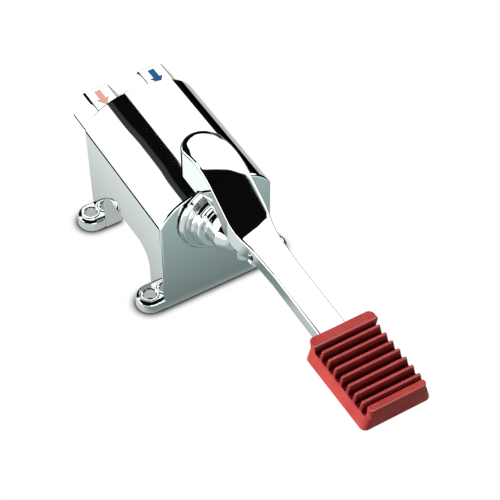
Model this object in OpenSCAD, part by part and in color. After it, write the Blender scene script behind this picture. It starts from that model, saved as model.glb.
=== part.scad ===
// Floor valve worked by a foot pedal, for a hot and a cold supply.
// Origin: centre of the four floor holes, on the floor. +X runs from the inlets to the pedal, +Z is up.

/* [Body] */
// Length of the body from its rear face to its front face
body_l = 80; // [74:1:90]
// Width of the body between its side walls
body_w = 62; // [58:1:70]
// Height of the crown of the arched top
body_h = 74; // [73:0.5:80]
// Height of the crease between a side wall and the arched top
shoulder_z = 58.5; // [57:0.5:59.5]
// Turn of the surface at that crease, in degrees
crease_turn = 25; // [23:1:32]
// Radius of the rounded shoulders
shoulder_r = 24; // [20:0.5:25]
// Thickness of the front, rear and side walls
body_wall = 4; // [3:0.25:5]
// Height of the cavity under the valve block
cavity_h = 34; // [30:0.5:35]
// Width of the arch between the front and rear legs
leg_arch_w = 50; // [40:1:54]
// Height of the arch between the legs
leg_arch_h = 32; // [26:0.5:33]
// Radius of the upper corners of that arch
leg_arch_r = 16; // [6:0.5:18]

/* [Ears] */
// Radius of the rounded end of a floor ear
ear_r = 7.2; // [6.5:0.1:9]
// Thickness of an ear
ear_t = 5.8; // [4:0.1:8]
// Distance of a hole's centre from the side wall
ear_reach = 4.6; // [4:0.1:8]
// Diameter of the floor holes
ear_hole_d = 6.5; // [5:0.1:8]
// Diameter of the raised rim round a floor hole
ear_rim_d = 10.8; // [9:0.1:13]
// Height of that rim above the ear
ear_rim_h = 0.8; // [0.4:0.1:1.5]
// Radius of the pocket in the wall that clears a screw head
screw_pocket_r = 6.2; // [5.5:0.1:6.5]
// Height of that pocket above the ear
screw_pocket_h = 14; // [8:0.5:18]

/* [Valve chamber] */
// Height of the valve axis above the floor
axis_z = 55; // [54:0.25:56]
// Radius of the bonnet's thread
bonnet_thread_r = 13; // [12:0.25:14]
// Length of the bonnet's thread in the body
bonnet_thread_l = 14; // [11:0.5:15]
// Radius of the outlet chamber behind the bonnet
outlet_chamber_r = 11.5; // [11:0.25:12]
// Depth of the outlet chamber between bonnet and seat
outlet_chamber_l = 18; // [16:0.5:20]
// Thickness of the seat ring
seat_t = 5; // [4:0.25:6]
// Radius of the seat's bore
seat_bore_r = 6.5; // [6:0.1:7]
// Radius of the inlet chamber behind the seat
inlet_chamber_r = 10.5; // [10.2:0.1:10.8]
// Length of the inlet chamber
inlet_chamber_l = 26.5; // [24:0.5:28]
// Radius of the passages that join the inlets and the chamber
passage_r = 4.5; // [4:0.25:4.75]
// Distance of those passages from the valve axis
passage_y = 13; // [12.5:0.25:14]
// Length of those passages
passage_l = 15; // [12:0.5:18]

/* [Bonnet and rose] */
// Thickness of the gasket under the rose
gasket_t = 0.8; // [0.5:0.1:1.2]
// Radius of the gasket
gasket_r = 19; // [17:0.25:20]
// Radius of the rose
rose_r = 21.6; // [20.5:0.1:22]
// Thickness of the rose
rose_t = 2.4; // [2:0.1:3]
// Radius of the bonnet's flange
flange_r = 17.2; // [16.5:0.1:18]
// Thickness of the bonnet's flange
flange_t = 3.3; // [2.5:0.1:4]
// Radius of the bonnet's collar
collar_r = 15.6; // [14.5:0.1:16.2]
// Thickness of the bonnet's collar
collar_t = 2.5; // [2:0.1:3]
// Radius of the bonnet's nose
nose_r = 11.2; // [10.8:0.1:12]
// Length of the nose in front of the collar
nose_l = 13; // [12:0.25:13.5]
// Radius of the rounded end of the nose
nose_round = 4.5; // [3:0.25:5]

/* [Plunger] */
// Radius of the plunger's rod
rod_r = 4; // [3.5:0.1:4.2]
// Radius of the plunger's button head
button_r = 6; // [5.5:0.1:6.5]
// Thickness of the button head
button_t = 2.8; // [2:0.1:3.2]
// Gap between nose and button head at rest
button_gap = 4.9; // [4.7:0.1:5.5]
// Radius of the threaded end that carries the disc
rod_thread_r = 2.5; // [2:0.1:3]
// Radius of the valve disc
disc_r = 9; // [8.5:0.1:9.4]
// Thickness of the valve disc
disc_t = 3; // [2.5:0.1:4]
// Thickness of the disc holder
holder_t = 3; // [2:0.1:4]
// Width across flats of the disc nut
disc_nut_af = 8; // [7:0.5:9]
// Thickness of the disc nut
disc_nut_t = 3.5; // [2.5:0.1:4]
// Length of the guide bush in the nose
bush_l = 10; // [8:0.5:11]
// Radius of the guide bush
bush_r = 6; // [5.5:0.1:6.5]
// Thickness of an O-ring of the plunger
oring_d = 2; // [1.6:0.1:2.4]
// Distance between the two O-rings
oring_pitch = 5; // [4:0.25:6]

/* [Springs] */
// Middle radius of the return spring
return_coil_r = 7.4; // [6.8:0.1:7.8]
// Wire diameter of the return spring
return_wire = 1.5; // [1.2:0.1:1.8]
// Number of turns of the return spring
return_turns = 6; // [4:1:7]
// Middle radius of a check spring
check_coil_r = 3.2; // [2.8:0.1:3.6]
// Wire diameter of a check spring
check_wire = 0.6; // [0.5:0.1:0.8]
// Number of turns of a check spring
check_turns = 4; // [3:1:5]

/* [Unions] */
// Distance between the hot and the cold inlet
inlet_pitch = 31; // [30:0.5:33]
// Height of the inlets' axes
inlet_z = 54; // [53:0.25:55]
// Height of the outlet's axis
outlet_z = 29; // [28:0.25:29.5]
// Width across flats of a union's hexagon
union_af = 24; // [23.5:0.25:24.5]
// Length of a union's hexagon
union_l = 16.5; // [15:0.5:20]
// Radius of a union's thread in the body
union_thread_r = 10.4; // [9.5:0.1:10.6]
// Length of a union's thread in the body
union_thread_l = 12; // [10:0.5:13]
// Relief in the body behind a union's thread
thread_relief = 1; // [0.5:0.25:1.5]
// Radius of the supply thread in a union
supply_r = 7.6; // [7.2:0.1:8.4]
// Depth of the supply thread
supply_l = 11; // [9:0.5:12]
// Plain bore between the supply thread and the strainer
supply_relief = 1; // [0.5:0.1:1.5]
// Step from the supply thread down to the strainer's seat
strainer_step = 0.3; // [0.2:0.05:0.4]
// Thickness of the flat seal under a union
union_seal_t = 1; // [0.8:0.1:1.5]
// Radius of the flat seal under a union
union_seal_r = 11.6; // [11.3:0.1:11.8]
// Radius of the boss round the outlet
outlet_boss_r = 14.5; // [13.5:0.25:15]
// Length of that boss
outlet_boss_l = 20; // [16:0.5:22]
// Outer radius of the outlet duct
duct_r = 9.5; // [8.5:0.1:10]
// Radius of the outlet passage
duct_bore_r = 6; // [5:0.1:6.5]
// Thickness of a strainer disc
strainer_t = 1; // [0.8:0.1:1.5]
// Radius of a strainer's holes
strainer_hole_r = 0.8; // [0.6:0.1:0.9]
// Outer radius of a check valve cage
cage_r = 6.9; // [6.6:0.1:7]
// Wall of a check valve cage
cage_wall = 1.3; // [1:0.1:1.5]
// Length of a check valve cage
cage_l = 13.5; // [13:0.25:14.5]
// Radius of the mouth that a poppet closes
cage_mouth_r = 4; // [3.5:0.1:4.3]
// Thickness of the cage's seat
cage_seat_t = 2; // [1.5:0.1:2.5]
// Thickness of the cage's guide web
cage_web_t = 1.5; // [1:0.1:2]
// Radius of a poppet's head
poppet_r = 4.9; // [4.6:0.1:5.1]
// Thickness of a poppet's head
poppet_t = 1.7; // [1.2:0.1:2]
// Radius of a poppet's stem
poppet_stem_r = 1.5; // [1.2:0.1:1.7]
// Length of a flow arrow
arrow_l = 11.5; // [8:0.5:13]
// Width of an arrow's head
arrow_head_w = 7; // [5:0.25:9]
// Length of an arrow's head
arrow_head_l = 5; // [4:0.25:6]
// Width of an arrow's shaft
arrow_shaft_w = 3.4; // [2:0.1:4]
// Thickness of the arrows' enamel
arrow_t = 0.2; // [0.1:0.05:0.4]

/* [Lever] */
// Distance of the pivot in front of the body
pivot_reach = 46; // [45:0.5:48]
// Height of the pivot above the valve axis
pivot_rise = 16.5; // [16.25:0.25:16.75]
// Radius of the pivot pin
pin_r = 2; // [1.8:0.1:2.1]
// Radius of the pin's domed head
pin_head_r = 4.2; // [3.5:0.1:4.5]
// Height of the pin's domed head
pin_head_h = 2.8; // [2:0.1:3.5]
// Width of the hood over the bonnet
hood_w = 21.2; // [20.8:0.2:22]
// Wall of the hood's cheeks
hood_wall = 2.6; // [2.2:0.1:2.8]
// Thickness of the hood's roof
hood_roof = 3; // [2.4:0.1:3.5]
// How far the hood reaches back over the body
hood_back = 22.5; // [18:0.5:26]
// Height of the hood's top above the valve axis
hood_top = 39.8; // [38.5:0.1:41]
// Drop of the hood's top towards its rear end
hood_rear_drop = 4.4; // [3:0.1:6]
// Lean of the hood's rear wall
hood_rake = 1; // [0:0.25:2]
// Distance of the hood's crest in front of the body
crest_reach = 6; // [4:0.25:8]
// Radius of the crest
crest_r = 16; // [10:0.5:18]
// Distance behind the pivot at which the sloping top meets the bar
slope_back = 9; // [8:0.5:11]
// Radius of the hollow where the slope meets the bar
slope_r = 12; // [10:0.5:16]
// Radius of the rounded rear end of the hood
hood_rear_r = 3; // [2:0.25:4]
// Radius of the hood's rear corners seen from above
hood_corner_r = 10.5; // [5:0.25:10.5]
// Distance behind the pivot at which the hood starts to narrow
narrow_back = 16; // [14:0.5:18]
// Distance in front of the pivot at which the bar has its own width
narrow_front = 18; // [16:0.5:24]
// Distance of the cheeks' lowest point behind the pivot
lobe_back = 9; // [8:0.25:10]
// Distance of the cheeks' lowest point below the pivot
lobe_drop = 6.8; // [6:0.1:7.2]
// Radius of the cheeks' lower curves
lobe_r = 8; // [6:0.5:9]
// Width of the bar
bar_w = 14; // [13.6:0.2:15]
// Width of the lever at the pivot
neck_w = 15.8; // [15.6:0.2:16.4]
// Height of the bar's top above the pivot, where the hood ends
bar_rise = 5.4; // [5.2:0.1:6]
// Fall of the bar's top from the hood to the foot plate
bar_fall = 2; // [1:0.1:3]
// Depth of the bar
bar_t = 9.6; // [8.5:0.1:10.5]
// Distance of the foot plate in front of the body
plate_reach = 106; // [100:1:110]
// Length of the foot plate
plate_l = 44; // [40:1:46]
// Width of the foot plate
plate_w = 25; // [22:0.5:27]
// Thickness of the foot plate
plate_t = 3; // [2.5:0.1:3.2]
// Length over which the foot plate widens
plate_flare = 6; // [5:0.5:10]
// Radius of the foot plate's corners
plate_corner_r = 4; // [2:0.25:5]
// Height of the push screw above the valve axis
push_lift = 2; // [1:0.1:2.5]
// Radius of the push screw
push_r = 2; // [1.8:0.1:2.5]
// Length of the push screw behind its domed tip
push_l = 9.5; // [9:0.5:12]
// Width of the slot in the push screw
push_slot_w = 0.8; // [0.6:0.1:1]
// Depth of that slot
push_slot_d = 1.2; // [0.8:0.1:1.5]
// Radius of the lever's boss round the push screw
push_boss_r = 3.6; // [3.4:0.1:4]
// Length of that boss
push_boss_l = 5.5; // [4.5:0.1:6]
// Width of the web that carries the boss
push_web_w = 5.2; // [4.4:0.1:5.2]
// Width across flats of the lock nut
lock_nut_af = 7; // [6.5:0.25:7.5]
// Thickness of the lock nut
lock_nut_t = 2.4; // [2:0.1:3]
// Thickness of an arm of the bonnet's fork
fork_t = 2.2; // [1.8:0.1:2.3]
// Radius of the eye of the fork
fork_eye_r = 3.3; // [3.1:0.1:3.4]
// Metal between the guide bush and the root of the fork
fork_root = 1; // [0.5:0.1:1.5]
// Room in the lever in front of the fork's eyes
eye_margin = 1.5; // [1:0.1:2]

/* [Pad] */
// Rubber in front of the foot plate
pad_nose = 4.5; // [4:0.25:8]
// Width of the rubber pad
pad_w = 35; // [32:0.5:40]
// Height of the rubber pad
pad_h = 13; // [12.5:0.1:15]
// Radius of the pad's upright corners
pad_corner_r = 4; // [2:0.25:6]
// Bare metal between the end of the bar and the pad
pad_gap = 1.5; // [1:0.25:4]
// Rubber under the foot plate
pad_skin = 1.7; // [1.2:0.1:2]
// Distance between the grooves
groove_pitch = 5.1; // [4.5:0.05:6]
// Width of a groove
groove_w = 2.3; // [1.8:0.1:2.8]
// Depth of a groove
groove_d = 3; // [2:0.1:4]
// Length of the plain block behind the first groove
pad_heel = 5.6; // [4.5:0.1:6]
// Least length of the plain block in front of the last groove
pad_toe = 3; // [2:0.1:4]

/* [Clearances] */
// Running clearance of the plunger, the poppets and the pin, on the radius
run_fit = 0.05; // [0.03:0.01:0.08]
// Clearance of seated pieces, on the radius
seat_fit = 0.02; // [0.01:0.01:0.04]
// Gap between pieces that meet when they move
stop_gap = 0.3; // [0.25:0.05:0.4]

/* [Hidden] */
$fn = 64;
eps = 0.01;
over = 1;
front_x = body_l / 2;
rear_x = -front_x;
cut = body_l + body_h;

// Arch: one large arc over the top, tangent to the two shoulder arcs
shoulder_y = body_w / 2 - shoulder_r * cos(crease_turn);
shoulder_cz = shoulder_z - shoulder_r * sin(crease_turn);
crown_h = body_h - shoulder_cz;
crown_r = (shoulder_y ^ 2 + crown_h ^ 2 - shoulder_r ^ 2) / (2 * (crown_h - shoulder_r));
crown_z = body_h - crown_r;
shoulder_a = atan2(shoulder_y, shoulder_cz - crown_z);
tangent_y = shoulder_y + shoulder_r * sin(shoulder_a);
function arch_z(y) = crown_z + sqrt(crown_r ^ 2 - y ^ 2);

// Ears: their outer sides lie flush with the front and rear faces
hole_x = front_x - ear_r;
hole_y = body_w / 2 + ear_reach;
ear_root_y = body_w / 2 - body_wall;

// Valve chamber, from the front face inwards
chamber_x = front_x - bonnet_thread_l;
seat_x = chamber_x - outlet_chamber_l;
disc_x = seat_x - seat_t;
chamber_end_x = disc_x - inlet_chamber_l;
duct_x = chamber_x - outlet_chamber_l / 2;

// Bonnet, from the front face outwards
rose_x = front_x + gasket_t;
flange_x = rose_x + rose_t;
collar_x = flange_x + flange_t;
nose_x = collar_x + collar_t;
nose_end_x = nose_x + nose_l;
button_x = nose_end_x + button_gap;
bush_x = nose_end_x - bush_l;
oring_x = front_x - bonnet_thread_l / 2;
oring_groove_r = rod_r + run_fit + oring_d;

// Unions
inlet_y = inlet_pitch / 2;
union_x = rear_x - union_seal_t;
union_end_x = union_x - union_l;
strainer_x = union_end_x + supply_l + supply_relief;
strainer_r = supply_r - strainer_step;
cage_x = strainer_x + strainer_t;
cage_web_x = cage_x + cage_l - cage_web_t;
poppet_x = cage_x + cage_seat_t + run_fit;
inlet_end_x = rear_x + union_thread_l + thread_relief;

// Lever
pivot_x = front_x + pivot_reach;
pivot_z = axis_z + pivot_rise;
hood_y = hood_w / 2;
hood_in_y = hood_y - hood_wall;
fork_y = push_web_w / 2 + stop_gap;
stop_z = arch_z(hood_y);
rose_clear_z = axis_z + sqrt(rose_r ^ 2 - hood_in_y ^ 2) + stop_gap;
hood_x = front_x - hood_back;
hood_z = axis_z + hood_top;
bar_z = pivot_z + bar_rise;
plate_x = front_x + plate_reach;
plate_z = bar_z - bar_fall;
crest_x = front_x + crest_reach;
slope_foot_x = pivot_x - slope_back;
eye_top_z = pivot_z + fork_eye_r + stop_gap;
eye_room = fork_eye_r + eye_margin;
push_z = axis_z + push_lift;
push_tip_x = button_x + button_t + stop_gap;
push_boss_x = push_tip_x + push_r / 2;
push_boss_end_x = push_boss_x + push_boss_l;
push_web_end_x = push_boss_end_x + hood_wall;
top_slope = (hood_z - bar_z) / (slope_foot_x - crest_x);
push_web_top_z = bar_z + top_slope * max(0, slope_foot_x - push_web_end_x);

// Pad
pad_x = plate_x + pad_gap;
pad_l = plate_l - pad_gap + pad_nose;
groove_n = 1 + floor((pad_l - pad_heel - groove_w - pad_toe) / groove_pitch);
pad_z = plate_z - plate_t - pad_skin;

// Finishes
chrome_c = "gainsboro";
brass_c = "darkkhaki";
steel_c = "silver";
seal_c = "dimgray";
pad_c = "firebrick";

// Points of the arc that rounds the corner b of the path a-b-c
function unit(v) = v / norm(v);
function corner_arc(a, b, c, r, steps = 6) =
    r <= 0 ? [b] :
    let (
        u = unit(a - b),
        v = unit(c - b),
        half = acos(u * v) / 2,
        centre = b + unit(u + v) * r / sin(half),
        p = b + u * r / tan(half) - centre,
        q = b + v * r / tan(half) - centre,
        start = atan2(p.y, p.x),
        turn = atan2(q.y, q.x) - start,
        sweep = turn > 180 ? turn - 360 : turn < -180 ? turn + 360 : turn
    )
    [for (i = [0 : steps]) centre + r * [cos(start + sweep * i / steps), sin(start + sweep * i / steps)]];

// Outline from corners given as [x, y, corner radius]
function rounded(corners) = [
    for (i = [0 : len(corners) - 1])
        let (
            n = len(corners),
            a = corners[(i + n - 1) % n],
            b = corners[i],
            c = corners[(i + 1) % n]
        )
        each corner_arc([a.x, a.y], [b.x, b.y], [c.x, c.y], b[2])
];

// Round bar along +X from x, with its axis at y and z
module rod(x, l, r, z, y = 0) {
    translate([x, y, z]) rotate([0, 90, 0]) cylinder(r = r, h = l);
}

// Ring along +X from x
module ring(x, l, r_out, r_in, z, y = 0) {
    difference() {
        rod(x, l, r_out, z, y);
        rod(x - eps, l + 2 * eps, r_in, z, y);
    }
}

// Hexagonal bar along +X with one flat on top
module hex_rod(x, l, af, z, y = 0) {
    translate([x, y, z]) rotate([0, 90, 0]) rotate([0, 0, 90]) cylinder(d = af / cos(30), h = l, $fn = 6);
}

// Outline in the XZ plane, extruded to both sides of y = 0
module slab(points, w) {
    translate([0, w / 2, 0]) rotate([90, 0, 0]) linear_extrude(w) polygon(points);
}

// One unbroken coil of round wire along +X, with its axis at y and z
coil_rings = 8;
coil_sides = 6;
module coil(x, l, r, wire, turns, z, y = 0) {
    n = turns * coil_rings;
    rise = (l - wire) / n;
    points = [
        for (i = [0 : n])
            let (a = 360 * i / coil_rings)
            for (j = [0 : coil_sides - 1])
                let (
                    b = 360 * j / coil_sides,
                    rr = r + wire / 2 * cos(b)
                )
                [x + wire / 2 + rise * i + wire / 2 * sin(b), y + rr * cos(a), z + rr * sin(a)]
    ];
    sides = [
        for (i = [0 : n - 1])
            for (j = [0 : coil_sides - 1])
                let (
                    k = (j + 1) % coil_sides,
                    p = i * coil_sides,
                    q = p + coil_sides
                )
                each [[p + j, p + k, q + k], [p + j, q + k, q + j]]
    ];
    caps = [
        for (j = [1 : coil_sides - 2])
            each [[0, j + 1, j], [n * coil_sides, n * coil_sides + j, n * coil_sides + j + 1]]
    ];
    echo(coil_gap = rise * coil_rings - wire);
    polyhedron(points, concat(sides, caps));
}

// Cross-section of the body in the YZ plane
module body_section() {
    translate([-body_w / 2, 0]) square([body_w, shoulder_z]);
    intersection() {
        translate([-body_w / 2, 0]) square([body_w, body_h + over]);
        for (side = [-1, 1]) translate([side * shoulder_y, shoulder_cz]) circle(shoulder_r);
    }
    intersection() {
        translate([0, crown_z]) circle(crown_r);
        translate([-tangent_y, shoulder_cz]) square([2 * tangent_y, crown_h + over]);
    }
}

module floor_ear(sx, sy) {
    translate([sx * hole_x, sy * hole_y, 0]) {
        cylinder(r = ear_r, h = ear_t);
        cylinder(d = ear_rim_d, h = ear_t + ear_rim_h);
    }
    translate([sx * hole_x - ear_r, sy > 0 ? ear_root_y : -hole_y, 0])
        cube([2 * ear_r, hole_y - ear_root_y, ear_t]);
}

module floor_hole(sx, sy) {
    translate([sx * hole_x, sy * hole_y, -eps]) cylinder(d = ear_hole_d, h = cut);
    translate([sx * hole_x, sy * hole_y, ear_t + ear_rim_h]) cylinder(r = screw_pocket_r, h = screw_pocket_h);
}

// Opening between the legs, cut through both side walls
module leg_arch() {
    half = leg_arch_w / 2;
    slab(rounded([
        [-half, -over, 0], [half, -over, 0], [half, leg_arch_h, leg_arch_r], [-half, leg_arch_h, leg_arch_r]
    ]), body_w + 2 * over);
}

module outlet_duct() {
    rod(rear_x, outlet_boss_l, outlet_boss_r, outlet_z);
    rod(rear_x, duct_x - rear_x, duct_r, outlet_z);
    translate([duct_x, 0, outlet_z]) sphere(duct_r);
    translate([duct_x, 0, outlet_z]) cylinder(r = duct_r, h = cavity_h - outlet_z + eps);
}

module water_ways() {
    rod(chamber_x, bonnet_thread_l + eps, bonnet_thread_r + seat_fit, axis_z);
    rod(disc_x, outlet_chamber_l + seat_t + eps, outlet_chamber_r, axis_z);
    rod(chamber_end_x, inlet_chamber_l + eps, inlet_chamber_r, axis_z);
    for (side = [-1, 1]) {
        rod(rear_x - eps, inlet_end_x - rear_x + eps, union_thread_r + seat_fit, inlet_z, side * inlet_y);
        rod(inlet_end_x - eps, passage_l, passage_r, inlet_z, side * passage_y);
    }
    rod(rear_x - eps, inlet_end_x - rear_x + eps, union_thread_r + seat_fit, outlet_z);
    rod(rear_x, duct_x - rear_x, duct_bore_r, outlet_z);
    translate([duct_x, 0, outlet_z]) sphere(duct_bore_r);
    translate([duct_x, 0, outlet_z]) cylinder(r = duct_bore_r, h = axis_z - outlet_z);
}

module valve_body() {
    color(chrome_c) difference() {
        union() {
            difference() {
                union() {
                    translate([rear_x, 0, 0]) rotate([90, 0, 90]) linear_extrude(body_l) body_section();
                    for (sx = [-1, 1], sy = [-1, 1]) floor_ear(sx, sy);
                }
                translate([rear_x + body_wall, body_wall - body_w / 2, -eps])
                    cube([body_l - 2 * body_wall, body_w - 2 * body_wall, cavity_h + eps]);
                leg_arch();
            }
            outlet_duct();
        }
        for (sx = [-1, 1], sy = [-1, 1]) floor_hole(sx, sy);
        water_ways();
    }
}

module front_rose() {
    color(chrome_c) ring(rose_x, rose_t, rose_r, bonnet_thread_r + seat_fit, axis_z);
}

module bonnet_gasket() {
    color(seal_c) ring(front_x, gasket_t, gasket_r, bonnet_thread_r + seat_fit, axis_z);
}

// Half section of the nose with its rounded end, turned about the valve axis
module nose() {
    face_r = nose_r - nose_round;
    translate([nose_x - eps, 0, axis_z]) rotate([0, 90, 0]) rotate_extrude() {
        square([nose_r, nose_l - nose_round + eps]);
        square([face_r, nose_l + eps]);
        intersection() {
            translate([face_r, nose_l - nose_round + eps]) circle(nose_round);
            square([nose_r, nose_l + eps]);
        }
    }
}

// Two arms from the nose to the pivot
module fork() {
    low_z = axis_z + nose_r - nose_round / 4;
    arm = [
        [collar_x, axis_z + bush_r + seat_fit + fork_root],
        [nose_end_x - nose_round, axis_z + bush_r + seat_fit + fork_root],
        [nose_end_x - nose_round, low_z],
        [pivot_x, pivot_z - fork_eye_r],
        [pivot_x, pivot_z + fork_eye_r],
        [collar_x, axis_z + collar_r - fork_root]
    ];
    for (side = [-1, 1]) translate([0, side * (fork_y + fork_t / 2), 0]) {
        slab(arm, fork_t);
        translate([pivot_x, fork_t / 2, pivot_z]) rotate([90, 0, 0]) cylinder(r = fork_eye_r, h = fork_t);
    }
}

module bonnet() {
    color(chrome_c) difference() {
        union() {
            rod(chamber_x, flange_x - chamber_x, bonnet_thread_r, axis_z);
            rod(flange_x, flange_t, flange_r, axis_z);
            rod(collar_x, collar_t, collar_r, axis_z);
            nose();
            fork();
        }
        rod(chamber_x - eps, nose_end_x - chamber_x + 2 * eps, rod_r + run_fit, axis_z);
        rod(bush_x, bush_l + eps, bush_r + seat_fit, axis_z);
        for (i = [0, 1])
            rod(oring_x + i * oring_pitch - oring_d / 2 - run_fit, oring_d + 2 * run_fit, oring_groove_r, axis_z);
        translate([pivot_x, hood_y, pivot_z]) rotate([90, 0, 0]) cylinder(r = pin_r + run_fit, h = hood_w);
    }
}

module stem_bush() {
    color(steel_c) ring(bush_x, bush_l, bush_r, rod_r + run_fit, axis_z);
}

module stem_seals() {
    color(seal_c) for (i = [0, 1])
        translate([oring_x + i * oring_pitch, 0, axis_z]) rotate([0, 90, 0])
            rotate_extrude() translate([rod_r + run_fit + oring_d / 2, 0]) circle(d = oring_d - seat_fit);
}

module valve_seat() {
    color(brass_c) ring(disc_x, seat_t, outlet_chamber_r - seat_fit, seat_bore_r, axis_z);
}

module return_spring() {
    x = chamber_end_x + seat_fit;
    color(steel_c) coil(x, disc_x - run_fit - disc_t - holder_t - seat_fit - x, return_coil_r, return_wire,
        return_turns, axis_z);
}

module plunger() {
    shoulder_x = disc_x - run_fit;
    thread_l = disc_t + holder_t + disc_nut_t;
    color(steel_c) {
        rod(shoulder_x, button_x - shoulder_x + eps, rod_r, axis_z);
        rod(button_x, button_t, button_r, axis_z);
        rod(shoulder_x - thread_l, thread_l + eps, rod_thread_r, axis_z);
    }
}

module valve_disc() {
    color(seal_c) ring(disc_x - run_fit - disc_t, disc_t, disc_r, rod_thread_r + seat_fit, axis_z);
}

module disc_holder() {
    color(brass_c) ring(disc_x - run_fit - disc_t - holder_t, holder_t, disc_r, rod_thread_r + seat_fit, axis_z);
}

module disc_nut() {
    x = disc_x - run_fit - disc_t - holder_t - disc_nut_t;
    color(brass_c) difference() {
        hex_rod(x, disc_nut_t, disc_nut_af, axis_z);
        rod(x - eps, disc_nut_t + 2 * eps, rod_thread_r + seat_fit, axis_z);
    }
}

// Hexagonal union with a supply thread outside and a plain bore inside
module union_piece(y, z) {
    color(chrome_c) difference() {
        union() {
            hex_rod(union_end_x, union_l, union_af, z, y);
            rod(union_x - eps, union_seal_t + union_thread_l + eps, union_thread_r, z, y);
        }
        rod(union_end_x - eps, supply_l + eps, supply_r, z, y);
        rod(union_end_x, strainer_x + strainer_t - union_end_x, strainer_r, z, y);
        rod(union_end_x, union_l + union_seal_t + union_thread_l + eps, cage_r + seat_fit, z, y);
    }
}

module union_seal(y, z) {
    color(seal_c) ring(union_x, union_seal_t, union_seal_r, union_thread_r + seat_fit, z, y);
}

// Disc with a rosette of small holes
module strainer(y) {
    rows = [[1, 0], [6, strainer_r / 3], [12, strainer_r * 2 / 3]];
    color(steel_c) difference() {
        rod(strainer_x, strainer_t, strainer_r - seat_fit, inlet_z, y);
        for (row = rows, i = [0 : row[0] - 1])
            let (a = 360 * i / row[0])
            rod(strainer_x - eps, strainer_t + 2 * eps, strainer_hole_r,
                inlet_z + row[1] * sin(a), y + row[1] * cos(a), $fn = 24);
    }
}

// Sleeve with a seat at its mouth and a web that guides the poppet's stem
module check_cage(y) {
    bore_r = cage_r - cage_wall;
    hole_ring = (bore_r + poppet_stem_r) / 2;
    hole_r = (bore_r - poppet_stem_r - cage_wall) / 2;
    color(brass_c) difference() {
        rod(cage_x, cage_l, cage_r, inlet_z, y);
        rod(cage_x - eps, cage_seat_t + 2 * eps, cage_mouth_r, inlet_z, y);
        rod(cage_x + cage_seat_t, cage_l - cage_seat_t - cage_web_t, bore_r, inlet_z, y);
        rod(cage_web_x - eps, cage_web_t + 2 * eps, poppet_stem_r + run_fit, inlet_z, y);
        for (a = [45 : 90 : 315])
            rod(cage_web_x - eps, cage_web_t + 2 * eps, hole_r,
                inlet_z + hole_ring * sin(a), y + hole_ring * cos(a));
    }
}

module check_poppet(y) {
    color(brass_c) {
        rod(poppet_x, poppet_t, poppet_r, inlet_z, y);
        rod(poppet_x, cage_x + cage_l - poppet_x, poppet_stem_r, inlet_z, y);
    }
}

module check_spring(y) {
    x = poppet_x + poppet_t + seat_fit;
    color(steel_c) coil(x, cage_web_x - seat_fit - x, check_coil_r, check_wire, check_turns, inlet_z, y);
}

// Flow arrow of enamel on the top flat of a union, pointing to the body
module flow_arrow(y, shade) {
    tip_x = union_x - (union_l - arrow_l) / 2;
    neck_x = tip_x - arrow_head_l;
    shaft = arrow_shaft_w / 2;
    color(shade) translate([0, y, inlet_z + union_af / 2]) linear_extrude(arrow_t) polygon([
        [tip_x, 0], [neck_x, arrow_head_w / 2], [neck_x, shaft], [tip_x - arrow_l, shaft],
        [tip_x - arrow_l, -shaft], [neck_x, -shaft], [neck_x, -arrow_head_w / 2]
    ]);
}

module hot_inlet() union_piece(-inlet_y, inlet_z);
module hot_inlet_seal() union_seal(-inlet_y, inlet_z);
module hot_strainer() strainer(-inlet_y);
module hot_check_cage() check_cage(-inlet_y);
module hot_check_poppet() check_poppet(-inlet_y);
module hot_check_spring() check_spring(-inlet_y);
module hot_arrow() flow_arrow(-inlet_y, "salmon");
module cold_inlet() union_piece(inlet_y, inlet_z);
module cold_inlet_seal() union_seal(inlet_y, inlet_z);
module cold_strainer() strainer(inlet_y);
module cold_check_cage() check_cage(inlet_y);
module cold_check_poppet() check_poppet(inlet_y);
module cold_check_spring() check_spring(inlet_y);
module cold_arrow() flow_arrow(inlet_y, "royalblue");
module outlet_union() union_piece(0, outlet_z);
module outlet_seal() union_seal(0, outlet_z);

// Side view of the lever, from the rear of the hood along the top to the foot plate and back below
function lever_side() = rounded([
    [hood_x + hood_rake, stop_z, hood_rear_r],
    [hood_x, hood_z - hood_rear_drop, hood_rear_r],
    [crest_x, hood_z, crest_r],
    [slope_foot_x, bar_z, slope_r],
    [plate_x, plate_z, 0],
    [plate_x, plate_z - bar_t, 0],
    [pivot_x + lobe_r, bar_z - bar_t, lobe_r],
    [pivot_x - lobe_back, pivot_z - lobe_drop, lobe_r],
    [nose_end_x + 2 * stop_gap, rose_clear_z + 2 * stop_gap, lobe_r],
    [front_x + stop_gap, rose_clear_z, 0],
    [front_x - stop_gap, stop_z, 0]
]);

// Space inside the hood, open below
function lever_hollow() = rounded([
    [hood_x + hood_wall, axis_z, 0],
    [hood_x + hood_wall, hood_z - hood_rear_drop - hood_roof, hood_rear_r],
    [crest_x, hood_z - hood_roof, crest_r],
    [slope_foot_x, eye_top_z, slope_r],
    [pivot_x + eye_room, eye_top_z, hood_rear_r],
    [pivot_x + eye_room, axis_z, 0]
]);

// Plan of the lever, or of its inside when it is drawn in by the wall
module lever_plan(wall) {
    hood = hood_y - wall;
    neck = neck_w / 2 - wall;
    bar = bar_w / 2 - wall;
    linear_extrude(cut) polygon(rounded([
        [hood_x + wall, -hood, hood_corner_r - wall],
        [pivot_x - narrow_back, -hood, 2 * slope_r],
        [pivot_x, -neck, 2 * slope_r],
        [pivot_x + narrow_front, -bar, 0],
        [plate_x + eps, -bar, 0],
        [plate_x + eps, bar, 0],
        [pivot_x + narrow_front, bar, 0],
        [pivot_x, neck, 2 * slope_r],
        [pivot_x - narrow_back, hood, 2 * slope_r],
        [hood_x + wall, hood, hood_corner_r - wall]
    ]));
}

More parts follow.
